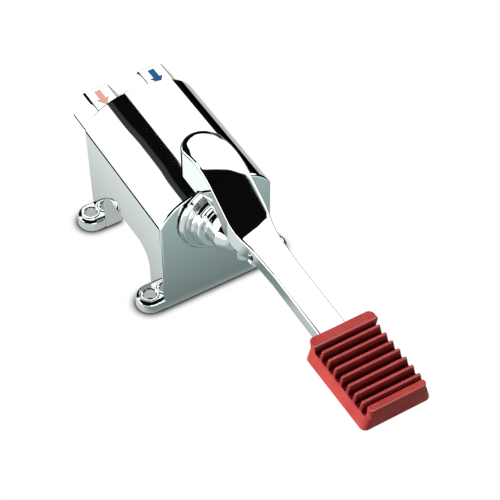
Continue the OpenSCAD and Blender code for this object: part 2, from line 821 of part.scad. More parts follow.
// Web and boss that hold the push screw between the arms of the fork
module push_holder() {
    slab([
        [push_boss_x, push_z], [push_boss_end_x, push_z], [push_boss_end_x, push_z + push_boss_r],
        [push_web_end_x, push_web_top_z - stop_gap], [push_boss_x, push_web_top_z]
    ], push_web_w);
    rod(push_boss_x, push_boss_l, push_boss_r, push_z);
}

// Foot plate, or the pocket that takes it when it is grown by a clearance
module foot_plate(grow = 0) {
    half = plate_w / 2 + grow;
    neck = bar_w / 2 + grow;
    translate([plate_x - eps, 0, plate_z - plate_t - grow]) linear_extrude(plate_t + 2 * grow) polygon(rounded([
        [0, -neck, 0], [plate_flare, -half, plate_corner_r], [plate_l + grow, -half, plate_corner_r],
        [plate_l + grow, half, plate_corner_r], [plate_flare, half, plate_corner_r], [0, neck, 0]
    ]));
}

module pedal_lever() {
    color(chrome_c) difference() {
        union() {
            difference() {
                intersection() {
                    slab(lever_side(), hood_w + 2 * over);
                    lever_plan(0);
                }
                intersection() {
                    slab(lever_hollow(), hood_w + 2 * over);
                    lever_plan(hood_wall);
                }
            }
            push_holder();
            foot_plate();
        }
        rod(hood_x - hood_wall, hood_back + hood_wall - eps, crown_r + stop_gap, crown_z);
        rod(push_boss_x - push_l, 2 * push_l + push_boss_l, push_r + seat_fit, push_z);
        translate([pivot_x, neck_w / 2, pivot_z]) rotate([-90, 0, 0])
            cylinder(r = pin_head_r + stop_gap, h = hood_wall);
        translate([pivot_x, hood_y, pivot_z]) rotate([90, 0, 0]) cylinder(r = pin_r + seat_fit, h = hood_w);
    }
}

// Pin through both cheeks, with a domed head on the +Y side
module pivot_pin() {
    neck = neck_w / 2;
    dome_r = (pin_head_r ^ 2 + pin_head_h ^ 2) / (2 * pin_head_h);
    color(chrome_c) {
        translate([pivot_x, neck + eps, pivot_z]) rotate([90, 0, 0]) cylinder(r = pin_r, h = neck_w);
        translate([pivot_x, neck, pivot_z]) intersection() {
            translate([0, pin_head_h - dome_r, 0]) sphere(dome_r);
            rotate([-90, 0, 0]) cylinder(r = pin_head_r + over, h = pin_head_h + over);
        }
    }
}

module push_screw() {
    color(steel_c) difference() {
        union() {
            translate([push_tip_x + push_r, 0, push_z]) sphere(push_r);
            rod(push_tip_x + push_r, push_l, push_r, push_z);
        }
        translate([push_tip_x + push_r + push_l - push_slot_d, -push_slot_w / 2, push_z - push_r - over])
            cube([push_slot_d + over, push_slot_w, 2 * (push_r + over)]);
    }
}

module lock_nut() {
    color(steel_c) difference() {
        hex_rod(push_boss_end_x, lock_nut_t, lock_nut_af, push_z);
        rod(push_boss_end_x - eps, lock_nut_t + 2 * eps, push_r + seat_fit, push_z);
    }
}

module pedal_pad() {
    color(pad_c) difference() {
        translate([pad_x, 0, pad_z]) linear_extrude(pad_h) polygon(rounded([
            [0, -pad_w / 2, pad_corner_r], [pad_l, -pad_w / 2, pad_corner_r],
            [pad_l, pad_w / 2, pad_corner_r], [0, pad_w / 2, pad_corner_r]
        ]));
        for (i = [0 : groove_n - 1])
            translate([pad_x + pad_heel + i * groove_pitch, -pad_w, pad_z + pad_h - groove_d])
                cube([groove_w, 2 * pad_w, groove_d + over]);
        foot_plate(seat_fit);
    }
}

valve_body();
front_rose();
bonnet();
bonnet_gasket();
stem_bush();
stem_seals();
valve_seat();
return_spring();
plunger();
disc_holder();
valve_disc();
disc_nut();
hot_inlet();
hot_inlet_seal();
hot_strainer();
hot_check_cage();
hot_check_poppet();
hot_check_spring();
hot_arrow();
cold_inlet();
cold_inlet_seal();
cold_strainer();
cold_check_cage();
cold_check_poppet();
cold_check_spring();
cold_arrow();
outlet_union();
outlet_seal();
pedal_lever();
pivot_pin();
push_screw();
lock_nut();
pedal_pad();
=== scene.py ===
"""Floor valve with a foot pedal: chrome body, bonnet and lever, red ribbed rubber pad."""

import logging
import math
from dataclasses import dataclass, field
from enum import Enum
from typing import Optional, Sequence, Union

import bmesh
import bpy
from mathutils import Matrix, Vector


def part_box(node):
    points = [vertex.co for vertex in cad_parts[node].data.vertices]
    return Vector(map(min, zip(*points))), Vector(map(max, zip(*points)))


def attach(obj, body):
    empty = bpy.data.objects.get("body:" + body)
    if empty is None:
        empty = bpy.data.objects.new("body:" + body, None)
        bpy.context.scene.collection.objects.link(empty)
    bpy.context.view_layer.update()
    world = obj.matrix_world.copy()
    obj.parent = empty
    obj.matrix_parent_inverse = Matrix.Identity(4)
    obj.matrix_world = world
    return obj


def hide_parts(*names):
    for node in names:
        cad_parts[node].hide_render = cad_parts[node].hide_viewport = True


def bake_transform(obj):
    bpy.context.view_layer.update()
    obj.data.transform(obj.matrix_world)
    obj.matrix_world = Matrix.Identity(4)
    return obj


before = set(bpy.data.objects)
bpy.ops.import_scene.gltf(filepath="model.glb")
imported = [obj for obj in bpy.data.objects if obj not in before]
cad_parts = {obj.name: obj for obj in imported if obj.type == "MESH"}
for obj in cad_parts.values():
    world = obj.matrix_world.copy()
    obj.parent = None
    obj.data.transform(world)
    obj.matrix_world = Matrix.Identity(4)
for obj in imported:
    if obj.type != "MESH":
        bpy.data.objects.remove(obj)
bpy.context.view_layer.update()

LOG = logging.getLogger("foot_valve")
Point = tuple[float, float]
Corner = tuple[float, ...]
Spot = tuple[float, float, float]
Colour = tuple[float, float, float]
Limit = tuple[str, float, float]
Path = tuple[Corner, ...]
Curve = tuple[Point, ...]
Limits = tuple[Limit, ...]
Piece = bpy.types.Object
Material = bpy.types.Material
Socket = bpy.types.NodeSocket
Value = Union[float, Corner, Socket]

# Places that several pieces share, in millimetres
MM = 0.001
AXIS: Point = (0.0, 55.0)
HOT_INLET: Point = (-15.5, 54.0)
COLD_INLET: Point = (15.5, 54.0)
OUTLET: Point = (0.0, 29.0)
PIVOT: Point = (86.0, 71.5)
PUSH_AXIS: Point = (0.0, 57.0)
QUARTERS = ((-1, -1), (-1, 1), (1, -1), (1, 1))


class Body(Enum):
    """Bodies of the mechanism that pieces ride on."""

    VALVE = "valve"
    PEDAL = "pedal"
    PLUNGER = "plunger"
    HOT_CHECK = "hot_check"
    COLD_CHECK = "cold_check"


class Slot(Enum):
    """Material slots of the pieces."""

    CHROME = "chrome"
    BRASS = "brass"
    STEEL = "steel"
    SEAL = "seal"
    RUBBER = "pad_rubber"
    HOT = "hot_enamel"
    COLD = "cold_enamel"


class Sweep(Enum):
    """Axis along which an outline is swept."""

    X = "x"
    Y = "y"
    Z = "z"

    def spot(self, u: float, v: float, along: float) -> Spot:
        """Places a point of an outline that is swept along this axis."""
        return {"x": (along, u, v), "y": (u, along, v), "z": (u, v, along)}[self.value]


class Cut(Enum):
    """Ways to combine two solids."""

    JOIN = "UNION"
    TAKE = "DIFFERENCE"
    KEEP = "INTERSECT"


def arc(centre: Point, radius: float, first: float, sweep: float, count: int) -> list[Point]:
    """Points of an arc with both its ends, from its first angle over its sweep in radians."""
    turns = [first + sweep * i / count for i in range(count + 1)]
    return [(centre[0] + radius * math.cos(t), centre[1] + radius * math.sin(t)) for t in turns]


def corner_arc(a: Corner, b: Corner, c: Corner, step: float) -> list[Point]:
    """Points of the arc that rounds corner b of the path a, b, c.

    Args:
        a: corner before.
        b: corner to round, with its radius as third value.
        c: corner after.
        step: largest turn between two points, in degrees.

    Returns:
        The points of the arc, from the side of a to the side of c.
    """
    tip = Vector(b[:2])
    to_a = (Vector(a[:2]) - tip).normalized()
    to_c = (Vector(c[:2]) - tip).normalized()
    half = to_a.angle(to_c) / 2
    if half > math.pi / 2 - 1e-4:
        return [(tip.x, tip.y)]
    radius = b[2]
    centre = tip + (to_a + to_c).normalized() * (radius / math.sin(half))
    start = tip + to_a * (radius / math.tan(half)) - centre
    end = tip + to_c * (radius / math.tan(half)) - centre
    first = math.atan2(start.y, start.x)
    sweep = math.remainder(math.atan2(end.y, end.x) - first, 2 * math.pi)
    count = max(2, math.ceil(abs(math.degrees(sweep)) / step))
    return arc((centre.x, centre.y), radius, first, sweep, count)


def rounded(corners: Sequence[Corner], closed: bool = True, step: float = 7.0) -> list[Point]:
    """Path through corners, each rounded by the radius it carries.

    Args:
        corners: corners as u, v and an optional radius.
        closed: whether the last corner joins the first.
        step: largest turn between two points of an arc, in degrees.

    Returns:
        The points of the path.
    """
    points: list[Point] = []
    count = len(corners)
    for i, corner in enumerate(corners):
        inner = closed or 0 < i < count - 1
        if inner and len(corner) > 2 and corner[2] > 0:
            points += corner_arc(corners[i - 1], corner, corners[(i + 1) % count], step)
        else:
            points.append((corner[0], corner[1]))
    return points


def oblong(low: float, high: float, half: float, near: float = 0.0, far: float = 0.0,
           step: float = 7.0) -> list[Point]:
    """Outline of an oblong about the middle line, its corners rounded by near and far."""
    corners = [(low, -half, near), (high, -half, far), (high, half, far), (low, half, near)]
    return rounded(corners, step=step)


def inset(outline: Sequence[Point], amount: float) -> list[Point]:
    """Moves a closed outline, given counter-clockwise, inwards.

    Args:
        outline: the points of the outline.
        amount: distance of the move, negative to grow the outline.

    Returns:
        The moved points, in the same order.
    """
    if amount == 0:
        return list(outline)
    least_turn = 0.2
    moved: list[Point] = []
    count = len(outline)
    for i, point in enumerate(outline):
        here = Vector(point)
        into = (here - Vector(outline[i - 1])).normalized()
        out = (Vector(outline[(i + 1) % count]) - here).normalized()
        side_in = Vector((-into.y, into.x))
        side_out = Vector((-out.y, out.x))
        push = (side_in + side_out) / max(least_turn, 1 + side_in.dot(side_out))
        moved.append((here.x + amount * push.x, here.y + amount * push.y))
    return moved


def height_along(path: Sequence[Point], place: float) -> float:
    """Reads a path as a curve of height over length.

    Args:
        path: points with rising first coordinate.
        place: where the height is wanted.

    Returns:
        The height there, held at the ends.
    """
    if place <= path[0][0]:
        return path[0][1]
    for (u0, v0), (u1, v1) in zip(path, path[1:]):
        if place <= u1:
            return v0 if u1 == u0 else v0 + (v1 - v0) * (place - u0) / (u1 - u0)
    return path[-1][1]


def gap_to_path(path: Sequence[Point], spot: Point) -> float:
    """Shortest distance from a spot to an open path.

    Args:
        path: the points of the path.
        spot: the place to measure from.

    Returns:
        The distance, in the unit of the path.
    """
    here = Vector(spot)
    best = float("inf")
    for p, q in zip(path, path[1:]):
        a = Vector(p)
        run = Vector(q) - a
        share = 0.0 if run.length_squared == 0 else (here - a).dot(run) / run.length_squared
        best = min(best, (here - a - run * min(1.0, max(0.0, share))).length)
    return best


def placed(name: str, data: bpy.types.ID) -> Piece:
    """Links a new object to the scene.

    Args:
        name: name of the object.
        data: its mesh, light or camera.

    Returns:
        The object, at the origin.
    """
    made = bpy.data.objects.new(name, data)
    bpy.context.scene.collection.objects.link(made)
    return made


def loft(name: str, rings: Sequence[Sequence[Spot]], capped: bool = True) -> Piece:
    """Joins closed rings of equal length to a solid that faces outwards.

    Args:
        name: name of the object.
        rings: rings in order along the skin.
        capped: whether the first and last ring get a face.

    Returns:
        The new object at the origin.
    """
    count = len(rings[0])
    points = [tuple(c * MM for c in spot) for ring in rings for spot in ring]
    last = len(points) - count
    faces = []
    for low in range(0, last, count):
        for j in range(count):
            k = (j + 1) % count
            faces.append((low + j, low + k, low + count + k, low + count + j))
    if capped:
        faces.append(tuple(range(count - 1, -1, -1)))
        faces.append(tuple(range(last, last + count)))
    mesh = bpy.data.meshes.new(name)
    mesh.from_pydata(points, [], faces)
    work = bmesh.new()
    work.from_mesh(mesh)
    bmesh.ops.remove_doubles(work, verts=work.verts, dist=1e-7)
    bmesh.ops.dissolve_degenerate(work, edges=work.edges, dist=1e-8)
    bmesh.ops.recalc_face_normals(work, faces=work.faces)
    work.to_mesh(mesh)
    work.free()
    return placed(name, mesh)


@dataclass(frozen=True)
class Ends:
    """Rounding at the two ends of a sweep, negative to flare instead."""

    low: float = 0.0
    high: float = 0.0
    steps: int = 5

    def stations(self, low: float, high: float) -> list[Point]:
        """Places along a sweep and the inset of the outline there.

        Args:
            low: start of the sweep.
            high: end of the sweep.

        Returns:
            Pairs of place and inset, in order.
        """
        turns = [math.pi / 2 * i / self.steps for i in range(self.steps + 1)]
        start: list[Point] = [(low, 0.0)]
        if self.low:
            r = abs(self.low)
            start = [(low + r - r * math.sin(t), self.low * (1 - math.cos(t))) for t in reversed(turns)]
        end: list[Point] = [(high, 0.0)]
        if self.high:
            r = abs(self.high)
            end = [(high - r + r * math.sin(t), self.high * (1 - math.cos(t))) for t in turns]
        if self.low < 0:
            start.insert(0, (low - 1, self.low))
        if self.high < 0:
            end.append((high + 1, self.high))
        return start + end


def prism(name: str, outline: Sequence[Point], axis: Sweep, low: float, high: float,
          ends: Ends = Ends()) -> Piece:
    """Sweeps an outline along an axis.

    Args:
        name: name of the object.
        outline: closed outline, counter-clockwise in its own two axes.
        axis: axis of the sweep.
        low: start along the axis.
        high: end along the axis.
        ends: rounding of the two ends.

    Returns:
        The solid.
    """
    rings = []
    for along, move in ends.stations(low, high):
        rings.append([axis.spot(u, v, along) for u, v in inset(outline, move)])
    return loft(name, rings)


def lathe(name: str, profile: Sequence[Corner], axis: Sweep, centre: Point, sides: int = 64) -> Piece:
    """Turns a profile about an axis.

    Args:
        name: name of the object.
        profile: corners as place along the axis, radius and an optional rounding.
        axis: axis of the turning.
        centre: where the axis stands, in the two other coordinates.
        sides: number of steps round the axis.

    Returns:
        The solid.
    """
    rings = []
    for along, radius in rounded(profile, closed=False, step=12.0):
        ring = arc(centre, radius, 0.0, 2 * math.pi, sides)[:-1]
        rings.append([axis.spot(u, v, along) for u, v in ring])
    closed = math.dist(profile[0][:2], profile[-1][:2]) < 1e-9
    return loft(name, rings, not closed)


@dataclass(frozen=True)
class Bore:
    """Plain round bore along an axis."""

    axis: Sweep
    low: float
    high: float
    radius: float
    centre: Point
    sides: int = 48

    def cutter(self) -> Piece:
        """Makes the solid that cuts the bore."""
        ends = [(self.low, self.radius), (self.high, self.radius)]
        return lathe("bore", ends, self.axis, self.centre, self.sides)


def settle(piece: Piece) -> None:
    """Turns the live modifiers of a piece into its plain mesh.

    Args:
        piece: the piece with modifiers.
    """
    graph = bpy.context.evaluated_depsgraph_get()
    made = bpy.data.meshes.new_from_object(piece.evaluated_get(graph), depsgraph=graph)
    old = piece.data
    piece.modifiers.clear()
    piece.data = made
    made.name = piece.name
    bpy.data.meshes.remove(old)


def drop(piece: Piece) -> None:
    """Removes a cutter that has done its work.

    Args:
        piece: the cutter.
    """
    mesh = piece.data
    bpy.data.objects.remove(piece)
    bpy.data.meshes.remove(mesh)


def combine(piece: Piece, how: Cut, *tools: Piece) -> Piece:
    """Joins, cuts or intersects a piece with other solids, one after the other.

    Args:
        piece: the solid that is changed.
        how: the way to combine.
        tools: the other solids, which are used up.

    Returns:
        The changed piece.
    """
    for tool in tools:
        step = piece.modifiers.new("combine", "BOOLEAN")
        step.operation = how.value
        step.solver = "MANIFOLD"
        step.object = tool
        settle(piece)
        drop(tool)
    return piece


def polish(piece: Piece, sharp: float = 32.0) -> Piece:
    """Cleans a finished mesh and gives it smooth shading with crisp edges.

    Args:
        piece: the piece to finish.
        sharp: turn in degrees from which an edge stays crisp.

    Returns:
        The piece.
    """
    flat_turn = 0.1
    work = bmesh.new()
    work.from_mesh(piece.data)
    bmesh.ops.remove_doubles(work, verts=work.verts, dist=2e-6)
    bmesh.ops.dissolve_degenerate(work, edges=work.edges, dist=1e-6)
    bmesh.ops.dissolve_limit(work, angle_limit=math.radians(flat_turn), verts=work.verts, edges=work.edges)
    work.to_mesh(piece.data)
    work.free()
    piece.data.shade_smooth()
    piece.data.set_sharp_from_angle(angle=math.radians(sharp))
    even = piece.modifiers.new("even", "WEIGHTED_NORMAL")
    even.keep_sharp = True
    even.weight = 80
    settle(piece)
    return piece


@dataclass
class Wiring:
    """Adds nodes to a tree and links them."""

    tree: bpy.types.NodeTree

    def put(self, kind: str, **inputs: Value) -> bpy.types.Node:
        """Adds a node and sets or links its inputs.

        Args:
            kind: type of the node.
            inputs: values or sockets by input name, with _ for a blank.

        Returns:
            The node.
        """
        node = self.tree.nodes.new(kind)
        for name, value in inputs.items():
            self.feed(node.inputs[name.replace("_", " ")], value)
        return node

    def feed(self, socket: Socket, value: Value) -> None:
        """Sets or links one input.

        Args:
            socket: the input.
            value: a value for it, or a socket to link to it.
        """
        if isinstance(value, Socket):
            self.tree.links.new(value, socket)
        else:
            socket.default_value = value

    def math(self, operation: str, *values: Value) -> Socket:
        """Adds an operation on one to three values.

        Args:
            operation: name of the operation.
            values: numbers or sockets.

        Returns:
            The result.
        """
        node = self.tree.nodes.new("ShaderNodeMath")
        node.operation = operation
        for socket, value in zip(node.inputs, values):
            self.feed(socket, value)
        return node.outputs[0]

    def ramp(self, value: Value, start: float, end: float, low: float = 0.0, high: float = 1.0,
             soft: bool = True) -> Socket:
        """Maps a value between two levels, held outside its range.

        Args:
            value: the number to map.
            start: where the first level holds.
            end: where the second level holds.
            low: first level.
            high: second level.
            soft: whether the change starts and ends gently.

        Returns:
            The mapped value.
        """
        node = self.put("ShaderNodeMapRange", Value=value, From_Min=start, From_Max=end,
                        To_Min=low, To_Max=high)
        node.interpolation_type = "SMOOTHSTEP" if soft else "LINEAR"
        return node.outputs["Result"]

    def mix(self, pick: Value, first: Value, second: Value) -> Socket:
        """Mixes two numbers, or two colours where the second is given as a tuple.

        Args:
            pick: 0 for the first, 1 for the second.
            first: what holds at 0.
            second: what holds at 1.

        Returns:
            The mixture.
        """
        coloured = isinstance(second, tuple)
        node = self.tree.nodes.new("ShaderNodeMix")
        node.data_type = "RGBA" if coloured else "FLOAT"
        for i, value in zip((0, 6, 7) if coloured else (0, 2, 3), (pick, first, second)):
            self.feed(node.inputs[i], value)
        return node.outputs[2 if coloured else 0]

    def fold(self, operation: str, *values: Socket) -> Socket:
        """Runs an operation over values, one after the other.

        Args:
            operation: MULTIPLY for all of several masks, MAXIMUM for any of them.
            values: the masks.

        Returns:
            The one mask.
        """
        result = values[0]
        for value in values[1:]:
            result = self.math(operation, result, value)
        return result

    def zone(self, values: dict[str, Socket], limits: Sequence[Limit]) -> Socket:
        """Mask of where every named value is past its soft limit."""
        return self.fold("MULTIPLY", *(self.ramp(values[name], start, end) for name, start, end in limits))

    def axes(self, kind: str) -> dict[str, Socket]:
        """Splits the texture coordinates of a kind.

        Args:
            kind: name of the coordinates.

        Returns:
            The coordinates as x, y and z.
        """
        place = self.tree.nodes.new("ShaderNodeTexCoord")
        split = self.put("ShaderNodeSeparateXYZ", Vector=place.outputs[kind])
        return dict(zip("xyz", split.outputs))

    def noise(self, scale: float, detail: float) -> Socket:
        """Noise on object coordinates.

        Args:
            scale: waves per metre.
            detail: number of finer layers.

        Returns:
            The grey value.
        """
        place = self.tree.nodes.new("ShaderNodeTexCoord")
        node = self.put("ShaderNodeTexNoise", Scale=scale, Detail=detail, Vector=place.outputs["Object"])
        return node.outputs["Fac"]


@dataclass
class Recipe:
    """Geometry Nodes tree with named inputs that makes one painted mesh."""

    name: str
    inputs: dict[str, str]
    tree: bpy.types.NodeTree = field(init=False)
    wires: Wiring = field(init=False)
    given: bpy.types.NodeOutputs = field(init=False)

    def __post_init__(self) -> None:
        """Starts the tree with its inputs, by name and kind."""
        self.tree = bpy.data.node_groups.new(self.name, "GeometryNodeTree")
        for label, kind in {**self.inputs, "Finish": "Material"}.items():
            self.tree.interface.new_socket(label, in_out="INPUT", socket_type="NodeSocket" + kind)
        self.tree.interface.new_socket("Geometry", in_out="OUTPUT", socket_type="NodeSocketGeometry")
        self.wires = Wiring(self.tree)
        self.given = self.tree.nodes.new("NodeGroupInput").outputs

    def end(self, mesh: Socket) -> "Recipe":
        """Paints the mesh and gives it out.

        Args:
            mesh: the mesh that the nodes made.

        Returns:
            This recipe.
        """
        paint = self.wires.put("GeometryNodeSetMaterial", Geometry=mesh, Material=self.given["Finish"])
        self.wires.put("NodeGroupOutput", Geometry=paint.outputs["Geometry"])
        return self

    def cook(self, piece: Piece, sizes: dict[str, object]) -> None:
        """Runs the tree on a piece and keeps the result as its plain mesh.

        Args:
            piece: the piece.
            sizes: value of each input by its name.
        """
        step = piece.modifiers.new(self.name, "NODES")
        step.node_group = self.tree
        for item in self.tree.interface.items_tree:
            if item.in_out == "INPUT" and item.name in sizes:
                step[item.identifier] = sizes[item.name]
        settle(piece)


@dataclass(frozen=True)
class PaintedHighlightAndShade:
    """Painted light on the pad: a painted highlight on the front top edges of the ribs, and painted shade in
    the grooves.
    """

    # colour and share of the painted highlight on edges that face forward and up
    light: Colour = (1.0, 0.33, 0.35)
    highlight_share: float = 0.9
    turn: Point = (0.2, 0.42)
    # colour and place of the painted shade in the grooves between the ribs
    groove_shade: Colour = (0.10, 0.004, 0.008)
    grooves: Limits = (
        ("z", 0.0826, 0.0785), ("z", 0.0776, 0.0777), ("x", 0.1905, 0.1903), ("side", 0.0158, 0.0150),
        ("x", 0.1526, 0.1528),
    )

    def over(self, wires: Wiring, colour: Socket) -> Socket:
        """Lays the painted highlight and the painted shade over a colour.

        Args:
            wires: the tree's wiring.
            colour: colour of the finish.

        Returns:
            The colour with a painted highlight on the edges and painted shade in the grooves.
        """
        facing = wires.axes("Normal")
        # painted highlight where the surface faces forward and up
        turn = wires.math("MULTIPLY", wires.math("MAXIMUM", facing["x"], 0.0), facing["z"])
        colour = wires.mix(wires.ramp(turn, *self.turn, 0.0, self.highlight_share), colour, (*self.light, 1.0))
        # painted shade in the grooves, in a box below the rib tops
        place = wires.axes("Object")
        place["side"] = wires.math("ABSOLUTE", place["y"])
        return wires.mix(wires.zone(place, self.grooves), colour, (*self.groove_shade, 1.0))


@dataclass(frozen=True)
class Finish:
    """Finish of a material slot, with grain and colour that vary over the surface."""

    slot: Slot
    colour: Colour
    second: Colour
    metal: float
    smooth: float
    rough: float
    grain: float
    bump: float
    specular: float = 0.5
    # optional painted highlight and painted shade laid over the colour
    painted_light: Optional[PaintedHighlightAndShade] = None
    patch: float = 0.15
    patch_range: Point = (0.35, 0.65)
    grain_range: Point = (0.3, 0.7)
    relief: float = 0.2

    def material(self) -> Material:
        """Builds the node material of the finish.

        Returns:
            The material.
        """
        made = bpy.data.materials.new(f"{self.slot.value}_finish")
        made.use_nodes = True
        wires = Wiring(made.node_tree)
        shader = made.node_tree.nodes["Principled BSDF"].inputs
        shader["Metallic"].default_value = self.metal
        shader["Specular IOR Level"].default_value = self.specular
        patches = wires.ramp(wires.noise(self.grain * self.patch, 4.0), *self.patch_range)
        colour = wires.mix(patches, (*self.colour, 1.0), (*self.second, 1.0))
        # the pad's colour gets its painted highlight and painted shade here
        wires.feed(shader["Base Color"], self.painted_light.over(wires, colour) if self.painted_light else colour)
        fine = wires.noise(self.grain, 5.0)
        wires.feed(shader["Roughness"], wires.ramp(fine, *self.grain_range, self.smooth, self.rough))
        bump = wires.put("ShaderNodeBump", Strength=self.bump, Distance=self.relief * MM, Height=fine)
        wires.feed(shader["Normal"], bump.outputs["Normal"])
        return made


FINISHES: tuple[Finish, ...] = (
    Finish(Slot.CHROME, (0.62, 0.645, 0.64), (0.60, 0.63, 0.625), 1.0, 0.015, 0.04, 70.0, 0.02),
    Finish(Slot.BRASS, (0.72, 0.52, 0.25), (0.62, 0.44, 0.20), 1.0, 0.18, 0.34, 500.0, 0.12),
    Finish(Slot.STEEL, (0.56, 0.57, 0.58), (0.48, 0.49, 0.50), 1.0, 0.14, 0.28, 600.0, 0.10),
    Finish(Slot.SEAL, (0.02, 0.02, 0.022), (0.035, 0.035, 0.036), 0.0, 0.55, 0.75, 900.0, 0.25),
    # pad rubber, with painted highlights on the rib edges and painted shade in the grooves
    Finish(Slot.RUBBER, (0.61, 0.086, 0.077), (0.52, 0.066, 0.06), 0.0, 0.5, 0.62, 700.0, 0.18,
           specular=0.06, painted_light=PaintedHighlightAndShade()),
    Finish(Slot.HOT, (0.94, 0.52, 0.45), (0.91, 0.47, 0.4), 0.0, 0.4, 0.5, 600.0, 0.06, specular=0.1),
    Finish(Slot.COLD, (0.02, 0.12, 0.33), (0.015, 0.09, 0.27), 0.0, 0.4, 0.5, 600.0, 0.06, specular=0.1),
)


@dataclass
class Workshop:
    """Materials of the slots, and the way a finished piece joins the frame."""

    coats: dict[Slot, Material] = field(default_factory=dict)

    def __post_init__(self) -> None:
        """Builds every finish once."""
        self.coats = {finish.slot: finish.material() for finish in FINISHES}

    def coat(self, piece: Piece, slot: Slot) -> None:
        """Gives a piece one finish all over."""
        piece.data.materials.clear()
        piece.data.materials.append(self.coats[slot])

    def fit(self, piece: Piece, slot: Slot, body: Body, node: str) -> None:
        """Finishes a new piece and lets it ride in place of a CAD node.

        Args:
            piece: the finished piece.
            slot: its material slot.
            body: the body it moves with.
            node: the CAD node that it stands for.
        """
        self.coat(piece, slot)
        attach(piece, body.value)
        self.stand_in(piece, node)

    def stand_in(self, piece: Piece, node: str) -> None:
        """Hides the CAD node that a piece stands for, and logs the piece.

        Args:
            piece: the finished piece.
            node: the CAD node that it stands for.
        """
        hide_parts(node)
        LOG.info("%s: %d faces, for %s", piece.name, len(piece.data.polygons), node)

    def keep(self, slot: Slot, *nodes: str) -> None:
        """Gives CAD nodes that stay in view their finish.

        Args:
            slot: material slot of the nodes.
            nodes: names of the nodes.
        """
        for name in nodes:
            self.coat(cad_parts[name], slot)
            LOG.info("%s: kept, in %s", name, slot.value)


